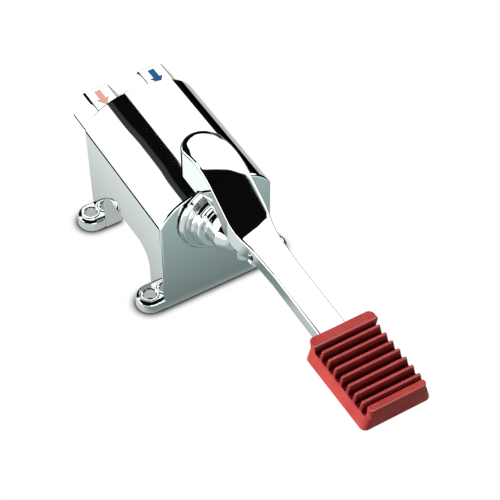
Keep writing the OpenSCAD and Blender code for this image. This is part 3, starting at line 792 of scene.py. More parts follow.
@dataclass
class ValveBody:
    """Cast body with an arched top, four floor ears and arched legs."""

    half_length: float = 40.0
    half_width: float = 31.0
    top: float = 74.0
    crease: float = 58.5
    crease_round: float = 3.2
    shoulder: float = 24.0
    shoulder_at: Point = (9.249, 48.357)
    shoulder_steps: int = 24
    crown_steps: int = 12
    edge: float = 1.3
    wall: float = 4.0
    cavity_top: float = 34.0
    cavity_round: float = 3.0
    leg_wall: float = 9.5
    leg_half: float = 24.8
    leg_top: float = 27.8
    leg_round: float = 10.4
    leg_rim: float = 0.6
    ear: float = 7.6
    ear_at: Point = (32.4, 35.2)
    ear_thick: float = 6.6
    ear_ends: Ends = Ends(0.4, 2.2)
    ear_steps: int = 32
    hole: Point = (32.8, 35.6)
    hole_radius: float = 3.25
    hole_lead: float = 0.6
    rim_radius: float = 5.0
    rim_height: float = 0.4
    rim_round: float = 0.5
    ground: float = 60.0
    duct: Path = ((-37, 0), (-37, 14.5), (-20, 14.5, 1.5), (-20, 9.5, 1), (25, 9.5, 6), (25, 0))
    riser: Path = ((29, 0), (29, 9.5), (36, 9.5), (36, 0))
    riser_at: Point = (17.0, 0.0)
    bores: tuple[Bore, ...] = (
        Bore(Sweep.X, 26, 41, 13.02, AXIS, 64),
        Bore(Sweep.X, 3, 26.01, 11.5, AXIS, 64),
        Bore(Sweep.X, -23.5, 3.01, 10.5, AXIS, 64),
        Bore(Sweep.X, -41, -27, 10.42, HOT_INLET, 64),
        Bore(Sweep.X, -27.01, -12, 4.5, (-13.0, 54.0), 32),
        Bore(Sweep.X, -41, -27, 10.42, COLD_INLET, 64),
        Bore(Sweep.X, -27.01, -12, 4.5, (13.0, 54.0), 32),
        Bore(Sweep.X, -41, -27, 10.42, OUTLET, 64),
        Bore(Sweep.X, -27.01, 17, 6, OUTLET),
        Bore(Sweep.Z, 24, 55, 6, (17.0, 0.0)),
    )

    def section(self) -> list[Point]:
        """Outline of the body across its length, as y and z.

        Returns:
            The outline, from the right foot over the top to the left foot.
        """
        y, z = self.shoulder_at
        rise = self.top - z
        radius = (y ** 2 + rise ** 2 - self.shoulder ** 2) / (2 * (rise - self.shoulder))
        centre = self.top - radius
        lean = math.atan2(y, z - centre)
        start = math.asin((self.crease - z) / self.shoulder)
        sweep = math.pi / 2 - lean - start
        right = arc(self.shoulder_at, self.shoulder, start, sweep, self.shoulder_steps)[1:]
        turns = [lean * (1 - i / self.crown_steps) for i in range(1, self.crown_steps + 1)]
        right += [(radius * math.sin(t), centre + radius * math.cos(t)) for t in turns]
        left = [(-u, v) for u, v in reversed(right[:-1])]
        side = [(self.half_width, -3), (self.half_width, self.crease, self.crease_round), right[0]]
        edge = rounded(side, closed=False, step=5)
        flip = [(-u, v) for u, v in reversed(edge)]
        return edge[:-1] + right + left + flip[1:]

    def ears(self) -> list[Piece]:
        """Four floor ears with raised rims round their holes.

        Returns:
            The solids of the ears and rims.
        """
        made = []
        height = self.ear_thick + self.rim_height
        rim = [(1, 0), (1, self.rim_radius), (height, self.rim_radius, self.rim_round), (height, 0)]
        for sx, sy in QUARTERS:
            x, y = sx * self.ear_at[0], sy * self.ear_at[1]
            root = sy * (self.half_width - self.wall)
            outline = arc((x, y), self.ear, 0.0, sy * math.pi, self.ear_steps)
            outline += [(x - self.ear, root), (x + self.ear, root)]
            if sy < 0:
                outline.reverse()
            made.append(prism("ear", outline, Sweep.Z, 0, self.ear_thick, self.ear_ends))
            made.append(lathe("rim", rim, Sweep.Z, (sx * self.hole[0], sy * self.hole[1])))
        return made

    def floor_holes(self) -> list[Piece]:
        """Cutters for the floor holes, with a small lead-in at the top.

        Returns:
            The four cutters.
        """
        seat = self.ear_thick + self.rim_height
        low, high = seat - 0.5, seat + 0.1
        wide = self.hole_radius + self.hole_lead
        profile = [(-1, 0), (-1, self.hole_radius), (low, self.hole_radius), (high, wide), (high, 0)]
        spots = [(sx * self.hole[0], sy * self.hole[1]) for sx, sy in QUARTERS]
        return [lathe("floor_hole", profile, Sweep.Z, spot) for spot in spots]

    def build(self) -> Piece:
        """Casts the body and cuts its legs, cavity, holes and bores.

        Returns:
            The body.
        """
        ends = Ends(self.edge, self.edge)
        cast = prism("valve_casting", self.section(), Sweep.X, -self.half_length, self.half_length, ends)
        ground = oblong(-self.ground, self.ground, self.ground)
        combine(cast, Cut.TAKE, prism("ground", ground, Sweep.Z, -9, 0))
        combine(cast, Cut.JOIN, *self.ears())
        inner = self.half_length - self.wall
        turn = self.cavity_round
        room = oblong(-inner, inner, self.half_width - self.leg_wall, turn, turn)
        cavity = prism("cavity", room, Sweep.Z, -1, self.cavity_top, Ends(0, turn))
        half, top, turn = self.leg_half, self.leg_top, self.leg_round
        gate = rounded([(-half, -1), (half, -1), (half, top, turn), (-half, top, turn)], step=4)
        ends = Ends(-self.leg_rim, -self.leg_rim)
        legs = prism("legs", gate, Sweep.Y, -self.half_width, self.half_width, ends)
        combine(cast, Cut.TAKE, cavity, legs)
        duct = lathe("duct", self.duct, Sweep.X, OUTLET)
        combine(cast, Cut.JOIN, duct, lathe("riser", self.riser, Sweep.Z, self.riser_at))
        combine(cast, Cut.TAKE, *self.floor_holes(), *(bore.cutter() for bore in self.bores))
        return polish(cast)

    def dress(self, shop: Workshop) -> None:
        """Builds the body and puts it in place of its CAD node."""
        shop.fit(self.build(), Slot.CHROME, Body.VALVE, "valve_body")


@dataclass
class Bonnet:
    """Stepped rose and the bonnet with its nose and pivot fork."""

    rose_profile: Path = (
        (40.8, 13.05), (40.8, 21.3), (41.2, 21.6), (41.9, 21.6, 0.5), (43.2, 20.0, 0.9), (43.2, 19.1, 0.2),
        (42.7, 18.7, 0.2), (42.7, 18.1, 0.2), (43.2, 17.7, 0.2), (43.2, 13.05), (40.8, 13.05),
    )
    profile: Path = (
        (26, 0), (26, 13), (43.2, 13), (43.2, 17.2, 0.2), (45.4, 17.2, 1.0), (46.5, 16.2, 0.3),
        (46.5, 15.6, 0.2), (48.2, 15.6, 0.8), (49, 14.6, 0.4), (49, 12.0, 0.5), (50, 11.2, 0.6),
        (57, 11.2, 1.5), (62, 6.7, 4.0), (62, 0),
    )
    sides: int = 128
    fork_arms: Point = (2.9, 5.1)
    fork_ends: Ends = Ends(0.4, 0.4, 3)
    arm_root: Path = ((46.5, 69.6), (46.5, 62), (57.5, 62), (57.5, 65.2, 2))
    eye: float = 3.3
    eye_steps: int = 16
    eye_neck: Point = (1.2, 1.5)
    bores: tuple[Bore, ...] = (
        Bore(Sweep.X, 25, 63, 4.05, AXIS),
        Bore(Sweep.X, 52, 63, 6.02, AXIS),
        Bore(Sweep.Y, -12, 12, 2.05, PIVOT),
    )

    def arms(self) -> list[Piece]:
        """Two arms of the fork that carry the pin.

        Returns:
            The solids of the arms.
        """
        x, z = PIVOT
        back, turn = self.eye_neck
        shape = [*self.arm_root[1:], (x - back, z - self.eye, turn)]
        shape += arc(PIVOT, self.eye, -math.pi / 2, math.pi, self.eye_steps)
        shape += [(x - back, z + self.eye, turn), self.arm_root[0]]
        outline = rounded(shape)
        low, high = self.fork_arms
        spans = ((low, high), (-high, -low))
        return [prism("arm", outline, Sweep.Y, start, end, self.fork_ends) for start, end in spans]

    def build(self) -> Piece:
        """Turns the bonnet, adds the fork and bores it.

        Returns:
            The bonnet.
        """
        made = lathe("bonnet_casting", self.profile, Sweep.X, AXIS, self.sides)
        combine(made, Cut.JOIN, *self.arms())
        combine(made, Cut.TAKE, *(bore.cutter() for bore in self.bores))
        return polish(made)

    def dress(self, shop: Workshop) -> None:
        """Builds rose and bonnet and puts them in place.

        Args:
            shop: the workshop with the finishes.
        """
        rose = lathe("front_ring", self.rose_profile, Sweep.X, AXIS, self.sides)
        shop.fit(polish(rose), Slot.CHROME, Body.VALVE, "front_rose")
        shop.fit(self.build(), Slot.CHROME, Body.VALVE, "bonnet")


@dataclass
class HexUnion:
    """Hexagonal union with a threaded socket at its rear end."""

    name: str
    node: str
    centre: Point
    flats: float = 24.0
    corner_round: float = 2.5
    rear: float = -57.5
    front: float = -41.0
    ends: Ends = Ends(0.8, 0.5)
    spigot: float = 10.4
    spigot_end: Corner = (-28, 10.4, 0.6)
    thread: float = 7.6
    thread_long: float = 11.0
    thread_pitch: float = 1.4
    thread_depth: float = 0.7
    seat: Point = (13.0, 7.3)
    bore: Point = (-20.0, 6.92)

    def socket(self) -> Piece:
        """Cutter of the threaded socket, with a lead-in at its mouth.

        Returns:
            The cutter.
        """
        mouth = self.thread + 1
        profile: list[Corner] = [(self.rear - 1, 0), (self.rear - 1, mouth), (self.rear, mouth)]
        place = self.rear + 1.0
        last = self.rear + self.thread_long
        while place + self.thread_pitch < last:
            profile.append((place, self.thread - self.thread_depth))
            profile.append((place + self.thread_pitch / 2, self.thread))
            place += self.thread_pitch
        seat, wide = self.rear + self.seat[0], self.seat[1]
        end, narrow = self.bore
        profile += [(last, self.thread), (last, wide), (seat, wide), (seat, narrow), (end, narrow), (end, 0)]
        return lathe("socket", profile, Sweep.X, self.centre)

    def build(self) -> Piece:
        """Builds the union.

        Returns:
            The union.
        """
        corners = arc(self.centre, self.flats / math.sqrt(3), 0.0, 2 * math.pi, 6)[:-1]
        hexagon = rounded([(y, z, self.corner_round) for y, z in corners], step=10)
        made = prism(self.name, hexagon, Sweep.X, self.rear, self.front, self.ends)
        start, end = self.front - 1, self.spigot_end
        neck = [(start, 0), (start, self.spigot), end, (end[0], 0)]
        combine(made, Cut.JOIN, lathe("neck", neck, Sweep.X, self.centre))
        combine(made, Cut.TAKE, self.socket())
        return polish(made)

    def dress(self, shop: Workshop) -> None:
        """Builds the union and puts it in place of its CAD node."""
        shop.fit(self.build(), Slot.CHROME, Body.VALVE, self.node)


@dataclass
class Lever:
    """Cast lever: hood over the bonnet, bar and foot plate."""

    rear: float = 17.5
    front: float = 146.0
    crown: float = 90.0
    rear_turn: float = 10.5
    plan: Path = (
        (17.5, 0), (17.5, 10.6, 10.5), (70, 10.6, 32), (86, 7.9, 32), (104, 7.0, 20), (146, 7.0),
    )
    top: Path = ((17.5, 90.8), (33, 93.2, 25), (46.5, 95.0, 28), (77, 76.9, 12), (146, 74.9))
    rim: Path = (
        (17.5, 72.4), (39.5, 72.4), (41, 75.4, 1), (45, 75.4, 6), (60, 71.8, 12), (68, 67.6, 8),
        (77.5, 64.6, 5), (86, 67.1, 6), (146, 65.3),
    )
    ceiling: Path = (
        (20.1, 55), (90.8, 55), (90.8, 74.6, 3), (76.5, 74.6, 10), (46.5, 92.0, 24), (33, 90.2, 20),
        (20.1, 86.4, 5),
    )
    hollow_plan: Path = ((20.1, 0), (20.1, 8.0, 7.9), (70, 8.0, 30), (86, 5.3, 20), (104, 4.4))
    edge_rounds: Curve = ((17.5, 1.4), (75, 1.2), (100, 1.0), (146, 1.0))
    rear_slopes: Curve = ((17.5, 3.4), (22, 4.0), (30, 2.6), (37, 0.0), (146, 0.0))
    rear_lean: float = 0.34
    slope_room: float = 0.4
    top_steps: int = 8
    edge_steps: int = 9
    foot_steps: int = 5
    foot_share: float = 0.8
    foot_depths: Curve = (
        (17.5, 0.6), (40, 0.6), (46, 1.8), (62, 1.8), (70, 0.8), (92, 2.4), (146, 2.4),
    )
    foot_rises: Curve = (
        (17.5, 0.6), (40, 0.6), (49, 6.5), (56, 9.5), (63, 4.0), (70, 0.8), (92, 2.4), (146, 2.4),
    )
    web: Path = ((71, 57), (76.5, 57), (76.5, 60.6, 2), (79.1, 76.0), (71, 77.0))
    web_half: float = 2.6
    boss: Path = ((71, 0), (71, 3.6, 0.5), (76.5, 3.6, 0.5), (76.5, 0))
    plate: Path = (
        (145.5, -7), (152, -12.5, 4), (190, -12.5, 4), (190, 12.5, 4), (152, 12.5, 4), (145.5, 7),
    )
    plate_low: float = 71.9
    plate_high: float = 74.9
    ends: Ends = Ends(0.4, 0.4, 3)
    arch: Bore = Bore(Sweep.X, 10, 39.99, 51.2, (0.0, 23.1), 256)
    bores: tuple[Bore, ...] = (
        Bore(Sweep.X, 60, 84, 2.02, PUSH_AXIS),
        Bore(Sweep.Y, -12, 12, 2.02, PIVOT),
        Bore(Sweep.Y, 7.9, 12, 4.5, PIVOT),
    )

    def stations(self) -> list[float]:
        """Places along the lever at which its section is taken.

        Returns:
            The places, close together up to the bar.
        """
        places = [self.rear + self.rear_turn * (1 - math.cos(math.radians(a))) for a in range(0, 90, 5)]
        place = self.rear + self.rear_turn
        bar_start, fine = 108, 0.7
        while place < bar_start:
            places.append(place)
            place += fine
        return places + [bar_start + 4.0 * i for i in range(1, 9)] + [self.front]

    def half_section(self, x: float, outline: list[Point], top: list[Point],
                     rim: list[Point]) -> list[Point]:
        """Half of a section, from the middle of the top round to the middle below.

        Args:
            x: place along the lever.
            outline: half plan of the lever.
            top: side view of the top.
            rim: side view of the lower edge.

        Returns:
            Points as y and z with y of zero or more.
        """
        half = outline[1][1] if x <= self.rear else height_along(outline[1:], x)
        edge = height_along(self.edge_rounds, x)
        slope = height_along(self.rear_slopes, x)
        deep = min(height_along(self.foot_depths, x), self.foot_share * half)
        rise = height_along(self.foot_rises, x)
        roof = height_along(top, x)
        low = height_along(rim, x)
        reach = min(max(edge, slope + self.slope_room), half)
        clear, same = 1.05, 0.999
        steps = [half * (1 - i / self.top_steps) for i in range(self.top_steps)]
        offsets = [off for off in steps if off > reach * clear]
        turns = [math.pi / 2 * i / self.edge_steps for i in range(self.edge_steps + 1)]
        offsets += [reach * (1 - math.sin(t)) for t in turns]
        if offsets[0] >= half * same:
            offsets = offsets[1:]
        points = []
        for off in [half] + offsets:
            y = half - off
            gap = gap_to_path(outline, (x, y))
            depth = min(edge, gap)
            fall = edge - math.sqrt(max(0.0, edge ** 2 - (edge - depth) ** 2))
            fall += max(0.0, slope - gap) * self.rear_lean
            points.append((y, roof - fall - y ** 2 / (2 * self.crown)))
        for i in range(self.foot_steps + 1):
            t = math.pi / 2 * i / self.foot_steps
            points.append((half - deep + deep * math.cos(t), low + rise - rise * math.sin(t)))
        points.append((0.0, low))
        return points

    def shape(self) -> Piece:
        """Outer form of hood and bar, still solid.

        Returns:
            The solid.
        """
        outline = rounded(self.plan, closed=False, step=3)
        top = rounded(self.top, closed=False, step=1.5)
        rim = rounded(self.rim, closed=False, step=6)
        halves = [self.half_section(x, outline, top, rim) for x in self.stations()]
        most = max(len(half) for half in halves)
        rings = []
        for x, half in zip(self.stations(), halves):
            half = [half[0]] * (most - len(half)) + half
            ring = [(x, y, z) for y, z in half]
            ring += [(x, -y, z) for y, z in reversed(half)]
            rings.append(ring)
        return loft("pedal_casting", rings)

    def hollow(self) -> Piece:
        """Room inside the hood, open below.

        Returns:
            The cutter.
        """
        side = prism("hollow", rounded(self.ceiling, step=8), Sweep.Y, -20, 20)
        right = rounded(self.hollow_plan, closed=False)
        ring = [(x, -y) for x, y in right[1:]] + list(reversed(right[1:]))
        return combine(side, Cut.KEEP, prism("plan", ring, Sweep.Z, 50, 100))

    def build(self) -> Piece:
        """Casts the lever with web, boss and foot plate, and bores it.

        Returns:
            The lever.
        """
        made = self.shape()
        combine(made, Cut.TAKE, self.hollow(), self.arch.cutter())
        web = prism("web", rounded(self.web), Sweep.Y, -self.web_half, self.web_half, self.ends)
        boss = lathe("boss", self.boss, Sweep.X, PUSH_AXIS, 48)
        plate = prism("plate", rounded(self.plate), Sweep.Z, self.plate_low, self.plate_high, self.ends)
        combine(made, Cut.JOIN, web, boss, plate)
        combine(made, Cut.TAKE, *(bore.cutter() for bore in self.bores))
        return polish(made)

    def dress(self, shop: Workshop) -> None:
        """Builds the lever and puts it in place of its CAD node."""
        shop.fit(self.build(), Slot.CHROME, Body.PEDAL, "pedal_lever")


@dataclass
class Pad:
    """Moulded rubber pad with ribs across its top."""

    rear: float = 147.5
    length: float = 46.2
    half_width: float = 17.5
    low: float = 70.2
    bed: float = 77.8
    top: float = 83.2
    corner: float = 3.0
    heel: float = 5.6
    toe: float = 3.4
    toe_rounds: Point = (1.0, 2.0)
    toe_ends: Ends = Ends(0, 0.6)
    pitch: float = 5.1
    rib: float = 2.6
    ribs: int = 7
    rib_root: float = 0.8
    rib_top: float = 1.2
    rib_edge: float = 0.45
    rib_ends: Ends = Ends(0.7, 0.7, 4)
    bed_half: float = 15.6
    top_half: float = 14.7
    pocket: Path = (
        (140, -7.1), (147, -7.1), (152, -12.55, 4), (190.05, -12.55, 4), (190.05, 12.55, 4),
        (152, 12.55, 4), (147, 7.1), (140, 7.1),
    )
    pocket_low: float = 71.87
    pocket_high: float = 74.93

    def rib_recipe(self) -> Recipe:
        """Node tree that sets a row of ribs on the pad and joins them to it.

        Returns:
            The recipe, with its sizes as named inputs.
        """
        made = Recipe("pad_ribs", {
            "Geometry": "Geometry", "Ribs": "Int", "Pitch": "Float", "First Rib": "Vector", "Rib": "Object",
        })
        put, given = made.wires.put, made.given
        rib = put("GeometryNodeObjectInfo", Object=given["Rib"])
        step = put("ShaderNodeCombineXYZ", X=given["Pitch"])
        row = put("GeometryNodeMeshLine", Count=given["Ribs"], Start_Location=given["First Rib"],
                  Offset=step.outputs[0])
        spread = put("GeometryNodeInstanceOnPoints", Points=row.outputs["Mesh"],
                     Instance=rib.outputs["Geometry"])
        real = put("GeometryNodeRealizeInstances", Geometry=spread.outputs["Instances"])
        fuse = put("GeometryNodeMeshBoolean")
        fuse.operation = "UNION"
        fuse.solver = "MANIFOLD"
        for solid in (given["Geometry"], real.outputs["Geometry"]):
            made.wires.feed(fuse.inputs["Mesh 2"], solid)
        return made.end(fuse.outputs["Mesh"])

    def one_rib(self) -> Piece:
        """One rib with rounded edges, about x of zero.

        Returns:
            The rib.
        """
        foot, head, edge = self.rib / 2, self.rib_top / 2, self.rib_edge
        root = self.bed - self.rib_root
        shape = [(-foot, root), (foot, root), (foot, self.bed), (head, self.top, edge),
                 (-head, self.top, edge), (-foot, self.bed)]
        outline = rounded(shape, step=18)
        made = prism("rib", outline, Sweep.Y, -self.bed_half, self.bed_half, self.rib_ends)
        for vertex in made.data.vertices:
            rise = max(0.0, vertex.co.z / MM - self.bed) / (self.top - self.bed)
            vertex.co.y *= 1 - rise * (1 - self.top_half / self.bed_half)
        return made

    def ribbed(self, piece: Piece, coat: Material) -> None:
        """Adds the ribs to the pad.

        Args:
            piece: the pad without its ribs.
            coat: material of the rubber.
        """
        first = self.rear + self.heel + self.pitch - self.rib / 2
        bar = self.one_rib()
        recipe = self.rib_recipe()
        recipe.cook(piece, {
            "Ribs": self.ribs, "Pitch": self.pitch * MM, "First Rib": (first * MM, 0.0, 0.0), "Rib": bar,
            "Finish": coat,
        })
        drop(bar)
        bpy.data.node_groups.remove(recipe.tree)

    def moulded(self, name: str, outline: list[Point], layers: Sequence[Spot]) -> Piece:
        """Stacks an outline to a solid with drafted sides.

        Args:
            name: name of the solid.
            outline: outline seen from above.
            layers: height, share of the width and inset of each layer.

        Returns:
            The solid.
        """
        rings = [[(x, y * wide, z) for x, y in inset(outline, move)] for z, wide, move in layers]
        return loft(name, rings)

    def build(self, coat: Material) -> Piece:
        """Moulds the pad with heel, ribs and toe.

        Args:
            coat: material of the rubber.

        Returns:
            The pad.
        """
        rear, nose, half, turn = self.rear, self.rear + self.length, self.half_width, self.corner
        low, bed, top = self.low, self.bed, self.top
        base = ((low, 1.0, 0.9), (low + 0.3, 1.0, 0.3), (low + 1, 1.0, 0.0),
                (bed, self.bed_half / half, 0.0))
        made = self.moulded("ribbed_pad", oblong(rear, nose, half, turn, turn, 8), base)
        rise = ((low + 2, 0.93, 0.0), (bed - 0.6, 0.875, 0.0), (bed + 0.4, 0.897, 0.0),
                (top - 0.8, 0.935, 0.0), (top - 0.45, 0.94, 0.1), (top - 0.15, 0.94, 0.4), (top, 0.94, 0.8))
        heel = self.moulded("heel", oblong(rear, rear + self.heel, half, turn, 0.0, 8), rise)
        front = oblong(nose - self.toe, nose, self.top_half - 0.4, *self.toe_rounds, 8)
        combine(made, Cut.JOIN, heel, prism("toe", front, Sweep.Z, low + 2, top, self.toe_ends))
        self.ribbed(made, coat)
        pocket = prism("pocket", rounded(self.pocket), Sweep.Z, self.pocket_low, self.pocket_high)
        return polish(combine(made, Cut.TAKE, pocket), sharp=35.0)

    def dress(self, shop: Workshop) -> None:
        """Builds the pad and puts it in place of its CAD node."""
        shop.fit(self.build(shop.coats[Slot.RUBBER]), Slot.RUBBER, Body.PEDAL, "pedal_pad")


@dataclass
class InnerParts:
    """Parts whose CAD shape stays, in their finishes."""

    steel: tuple[str, ...] = (
        "plunger", "hot_strainer", "cold_strainer", "push_screw", "lock_nut", "stem_bush",
    )
    brass: tuple[str, ...] = (
        "valve_seat", "disc_holder", "disc_nut", "hot_check_cage", "cold_check_cage",
        "hot_check_poppet", "cold_check_poppet",
    )
    seals: tuple[str, ...] = (
        "bonnet_gasket", "stem_seals", "valve_disc", "hot_inlet_seal", "cold_inlet_seal", "outlet_seal",
    )

    def dress(self, shop: Workshop) -> None:
        """Gives each kept part its finish.

        Args:
            shop: the workshop with the finishes.
        """
        shop.keep(Slot.STEEL, *self.steel)
        shop.keep(Slot.BRASS, *self.brass)
        shop.keep(Slot.SEAL, *self.seals)
        shop.keep(Slot.CHROME, "pivot_pin")
        shop.keep(Slot.HOT, "hot_arrow")
        shop.keep(Slot.COLD, "cold_arrow")


@dataclass(frozen=True)
class Coil:
    """Sizes of one spring, and the body that presses it."""

    node: str
    moving: Body
    wire: float
    turns: int
    moving_at_front: bool


@dataclass
class Springs:
    """Coil springs, wound in place of their CAD nodes."""

    coils: tuple[Coil, ...] = (
        Coil("return_spring", Body.PLUNGER, 1.5, 6, True),
        Coil("hot_check_spring", Body.HOT_CHECK, 0.6, 4, False),
        Coil("cold_check_spring", Body.COLD_CHECK, 0.6, 4, False),
    )
    steps_per_turn: int = 40
    wire_sides: int = 12

    def coil_recipe(self) -> Recipe:
        """Node tree that winds a wire along the X axis.

        Returns:
            The recipe, with its sizes as named inputs.
        """
        made = Recipe("coil", {
            "Turns": "Float", "Radius": "Float", "Length": "Float", "Wire": "Float", "Place": "Vector",
        })
        put, given = made.wires.put, made.given
        path = put("GeometryNodeCurveSpiral", Resolution=self.steps_per_turn, Rotations=given["Turns"],
                   Start_Radius=given["Radius"], End_Radius=given["Radius"], Height=given["Length"])
        wire = put("GeometryNodeCurvePrimitiveCircle", Resolution=self.wire_sides, Radius=given["Wire"])
        wind = put("GeometryNodeCurveToMesh", Fill_Caps=True, Curve=path.outputs["Curve"],
                   Profile_Curve=wire.outputs["Curve"])
        turn = put("GeometryNodeTransform", Rotation=(0.0, math.pi / 2, 0.0), Geometry=wind.outputs["Mesh"],
                   Translation=given["Place"])
        real = put("GeometryNodeRealizeInstances", Geometry=turn.outputs["Geometry"])
        return made.end(real.outputs["Geometry"])

    def dress(self, shop: Workshop) -> None:
        """Winds each spring in place of its CAD node.

        Args:
            shop: the workshop with the finishes.
        """
        recipe = self.coil_recipe()
        for coil in self.coils:
            low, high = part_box(coil.node)
            wire = coil.wire * MM
            middle = (low + high) / 2
            piece = placed("wound_" + coil.node, bpy.data.meshes.new(coil.node))
            recipe.cook(piece, {
                "Turns": float(coil.turns),
                "Radius": (high.z - low.z - wire) / 2,
                "Length": high.x - low.x - wire,
                "Wire": wire / 2,
                "Place": (low.x + wire / 2, middle.y, middle.z),
                "Finish": shop.coats[Slot.STEEL],
            })
            polish(piece, sharp=60.0)
            shop.coat(piece, Slot.STEEL)
            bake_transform(piece)
            shop.stand_in(piece, coil.node)
        bpy.data.node_groups.remove(recipe.tree)


@dataclass
class Studio:
    """White studio: bright tent with dark flags, pale floor, one soft key light and the camera."""

    white: float = 2.8
    black: float = 0.006
    fill: float = 0.3
    below: float = 0.2
    horizon: Point = (-0.05, 0.05)
    key: float = 3.4
    key_width: float = 30.0
    key_from: Spot = (-0.32, -0.76, 0.56)
    target: Spot = (69.30, 1.45, 54.27)
    turn: float = 59.489
    rise: float = 48.62
    roll: float = -0.295
    distance: float = 746.37
    focal: float = 113.2
    sensor: float = 36.0
    # Dark gap over the arch: where along the tent its edges lean by how many degrees
    gap_left: Path = (
        (-0.672, -0.676, -16.0, -62.0), (-0.660, -0.645, -18.3, -16.0), (-0.630, -0.620, -16.0, -18.3),
    )
    gap_right: Corner = (-0.627, -0.615, 7.4, 1.7)
    gap_shade: Corner = (0.10, 0.14, 0.975, 1.0)
    gap: Limits = (
        ("left", -0.015, 0.015), ("right", 0.015, -0.015), ("x", -0.46, -0.50), ("z", 0.0, 0.05),
    )
    # Dark flags behind, over and beside the object, the one over it cut on a slant
    slant: Point = (-1.7, 0.63)
    slant_step: Corner = (0.36, 0.47, 0.0, 0.1)
    edge_slant: float = -0.25
    behind: Limits = (("x", -0.6, -0.65), ("y", -0.62, -0.56), ("y", 0.56, 0.5), ("z", 0.42, 0.37))
    over: Limits = (("slant", -0.03, 0.03), ("z", 0.38, 0.45), ("x", -0.52, -0.46), ("edge", 0.44, 0.41))
    beside: Limits = (("y", 0.52, 0.56), ("z", 0.2, 0.16))
    flank: Limits = (("x", 0.02, 0.08), ("y", -0.45, -0.5), ("z", 0.08, 0.12), ("z", 0.72, 0.66))
    # Floor as the camera sees it, and a sheet with painted light and painted shade that mirrors see in its
    # place
    floor_half: float = 3000.0
    shadow_reach: float = 0.0055
    shadow: Corner = (0.5, 1.0, 0.03, 1.0)
    card_side: Corner = (-0.033, -0.057, 0.7, 1.05)
    card_near: Corner = (0.04, 0.10, 0.29, 0.68)
    card_far: Corner = (0.10, 0.16, 0.0, 1.0)
    card_middle: Point = (-0.036, -0.03)
    card_wedge: Limits = (("y", -0.08, -0.06), ("x", 0.078, 0.062))
    card_before: Point = (0.036, 0.044)
    card_strip: Limits = (("y", -0.195, -0.19), ("y", -0.057, -0.061), ("x", 0.016, 0.008))
    card_bright: Point = (-0.185, -0.195)
    card_end: Point = (0.214, 0.206)
    card_tints: tuple[Colour, Colour] = ((0.95, 1.0, 0.99), (0.80, 1.0, 0.97))

    def dark_sky(self, wires: Wiring) -> Socket:
        """Mask of the dark parts of the tent.

        Args:
            wires: wiring of the world's tree.

        Returns:
            The mask, 1 where the tent is dark.
        """
        way = wires.axes("Generated")
        x, y, z = way.values()
        lean = wires.math("ARCTAN2", y, z)
        left: Value = 0.0
        for start, end, low, high in self.gap_left:
            limit = wires.ramp(x, start, end, math.radians(low), math.radians(high))
            left = wires.math("MINIMUM", left, limit)
        start, end, low, high = self.gap_right
        right = wires.ramp(x, start, end, math.radians(low), math.radians(high), soft=False)
        way["left"] = wires.math("SUBTRACT", lean, left)
        way["right"] = wires.math("SUBTRACT", lean, right)
        slope, shift = self.slant
        slant = wires.math("MULTIPLY_ADD", y, slope, wires.math("ADD", x, shift))
        way["slant"] = wires.math("SUBTRACT", slant, wires.ramp(y, *self.slant_step))
        way["edge"] = wires.math("MULTIPLY_ADD", x, self.edge_slant, y)
        gap = wires.math("MULTIPLY", wires.zone(way, self.gap), wires.ramp(way["left"], *self.gap_shade))
        flags = (wires.zone(way, flag) for flag in (self.behind, self.over, self.beside, self.flank))
        return wires.fold("MAXIMUM", gap, *flags)

    def sky(self) -> None:
        """World that mirrors see as a tent with dark gaps, and matt surfaces as even light."""
        world = bpy.data.worlds.new("tent")
        world.use_nodes = True
        bpy.context.scene.world = world
        world.node_tree.nodes.clear()
        wires = Wiring(world.node_tree)
        tent = wires.math("MULTIPLY_ADD", self.dark_sky(wires), self.black - self.white, self.white)
        up = wires.axes("Generated")["z"]
        matt = wires.ramp(up, *self.horizon, self.below, self.fill)
        seen = world.node_tree.nodes.new("ShaderNodeLightPath").outputs
        lit = wires.mix(seen["Is Glossy Ray"], matt, tent)
        glow = wires.put("ShaderNodeBackground", Strength=wires.mix(seen["Is Camera Ray"], lit, 1.0))
        wires.put("ShaderNodeOutputWorld", Surface=glow.outputs[0])

    def sheet(self, name: str, height: float, *unseen: str) -> Wiring:
        """Large flat sheet for the floor.

        Args:
            name: name of the sheet.
            height: its height in millimetres.
            unseen: kinds of rays that pass through it.

        Returns:
            The wiring of its empty material.
        """
        ring = oblong(-self.floor_half, self.floor_half, self.floor_half)
        made = placed(name, bpy.data.meshes.new(name))
        made.data.from_pydata([(u * MM, v * MM, height * MM) for u, v in ring], [], [(0, 1, 2, 3)])
        for kind in unseen:
            setattr(made, "visible_" + kind, False)
        coat = bpy.data.materials.new(name + "_glow")
        coat.use_nodes = True
        coat.node_tree.nodes.clear()
        made.data.materials.append(coat)
        return Wiring(coat.node_tree)

    def shine(self, wires: Wiring, **inputs: Value) -> None:
        """Ends a sheet's material in plain light."""
        glow = wires.put("ShaderNodeEmission", **inputs)
        wires.put("ShaderNodeOutputMaterial", Surface=glow.outputs[0])

    def floor(self) -> None:
        """Pale floor that the camera sees, with faint shadows."""
        wires = self.sheet("floor", -0.05, "glossy", "diffuse")
        near = wires.put("ShaderNodeAmbientOcclusion", Distance=self.shadow_reach)
        near.samples = 16
        self.shine(wires, Strength=wires.ramp(near.outputs["AO"], *self.shadow))

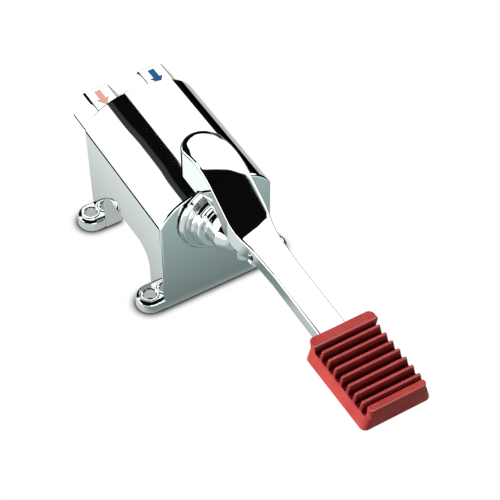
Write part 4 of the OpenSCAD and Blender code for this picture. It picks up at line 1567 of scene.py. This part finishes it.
    def mirror_card(self) -> None:
        """Sheet that only mirrors see, in place of the floor: painted light and painted shade for
        reflections.
        """
        hidden_from = ("camera", "diffuse", "shadow", "transmission", "volume_scatter")
        wires = self.sheet("mirror_card", -0.1, *hidden_from)
        place = wires.axes("Object")
        x, y = place["x"], place["y"]
        # painted light and shade of the floor as reflections show it: brighter to the left, and painted
        # shade in front that is darkest close to the body
        beside = wires.ramp(y, *self.card_side, soft=False)
        near = wires.ramp(x, *self.card_near, soft=False)
        ahead = wires.math("ADD", near, wires.ramp(x, *self.card_far, soft=False))
        middle = wires.fold("MAXIMUM", wires.ramp(y, *self.card_middle), wires.zone(place, self.card_wedge))
        before = wires.math("MULTIPLY", wires.ramp(x, *self.card_before), middle)
        light = wires.mix(before, beside, ahead)
        # painted bright band far to the left
        light = wires.mix(wires.ramp(y, *self.card_bright), light, self.white)
        # painted dark strip, seen in reflections as the dark line along the body's crease
        strip = wires.zone(place, self.card_strip)
        light = wires.math("MULTIPLY", light, wires.math("SUBTRACT", 1.0, strip))
        # painted dark beyond the right end
        light = wires.math("MULTIPLY", light, wires.ramp(y, *self.card_end))
        first, second = self.card_tints
        self.shine(wires, Strength=light, Color=wires.mix(before, (*first, 1.0), (*second, 1.0)))

    def key_light(self) -> None:
        """Broad soft light from the left."""
        lamp = bpy.data.lights.new("key", "SUN")
        lamp.energy = self.key
        lamp.angle = math.radians(self.key_width)
        made = placed("key", lamp)
        made.rotation_euler = Vector(self.key_from).to_track_quat("Z", "Y").to_euler()
        made.visible_glossy = False

    def camera(self) -> None:
        """Camera at the photograph's viewing angle."""
        turn, rise, roll = (math.radians(a) for a in (self.turn, self.rise, self.roll))
        back = Vector((math.sin(turn) * math.cos(rise), -math.cos(turn) * math.cos(rise), math.sin(rise)))
        right = Vector((math.cos(turn), math.sin(turn), 0.0))
        across = right * math.cos(roll) + back.cross(right) * math.sin(roll)
        lens = bpy.data.cameras.new("camera")
        lens.lens = self.focal
        lens.sensor_width = self.sensor
        lens.clip_start = 0.01
        made = placed("camera", lens)
        place = Matrix((across, back.cross(across), back)).transposed().to_4x4()
        place.translation = (Vector(self.target) + back * self.distance) * MM
        made.matrix_world = place
        bpy.context.scene.camera = made

    def build(self) -> None:
        """Sets up sky, floor, light and camera."""
        self.sky()
        self.floor()
        self.mirror_card()
        self.key_light()
        self.camera()
        bpy.context.scene.view_settings.view_transform = "Standard"


def main() -> None:
    """Builds the valve and its studio."""
    logging.basicConfig(level=logging.INFO, format="%(message)s")
    shop = Workshop()
    ValveBody().dress(shop)
    Bonnet().dress(shop)
    HexUnion("hot_union", "hot_inlet", HOT_INLET).dress(shop)
    HexUnion("cold_union", "cold_inlet", COLD_INLET).dress(shop)
    HexUnion("waste_union", "outlet_union", OUTLET).dress(shop)
    Lever().dress(shop)
    Pad().dress(shop)
    InnerParts().dress(shop)
    Springs().dress(shop)
    Studio().build()


if __name__ == "__main__":
    main()
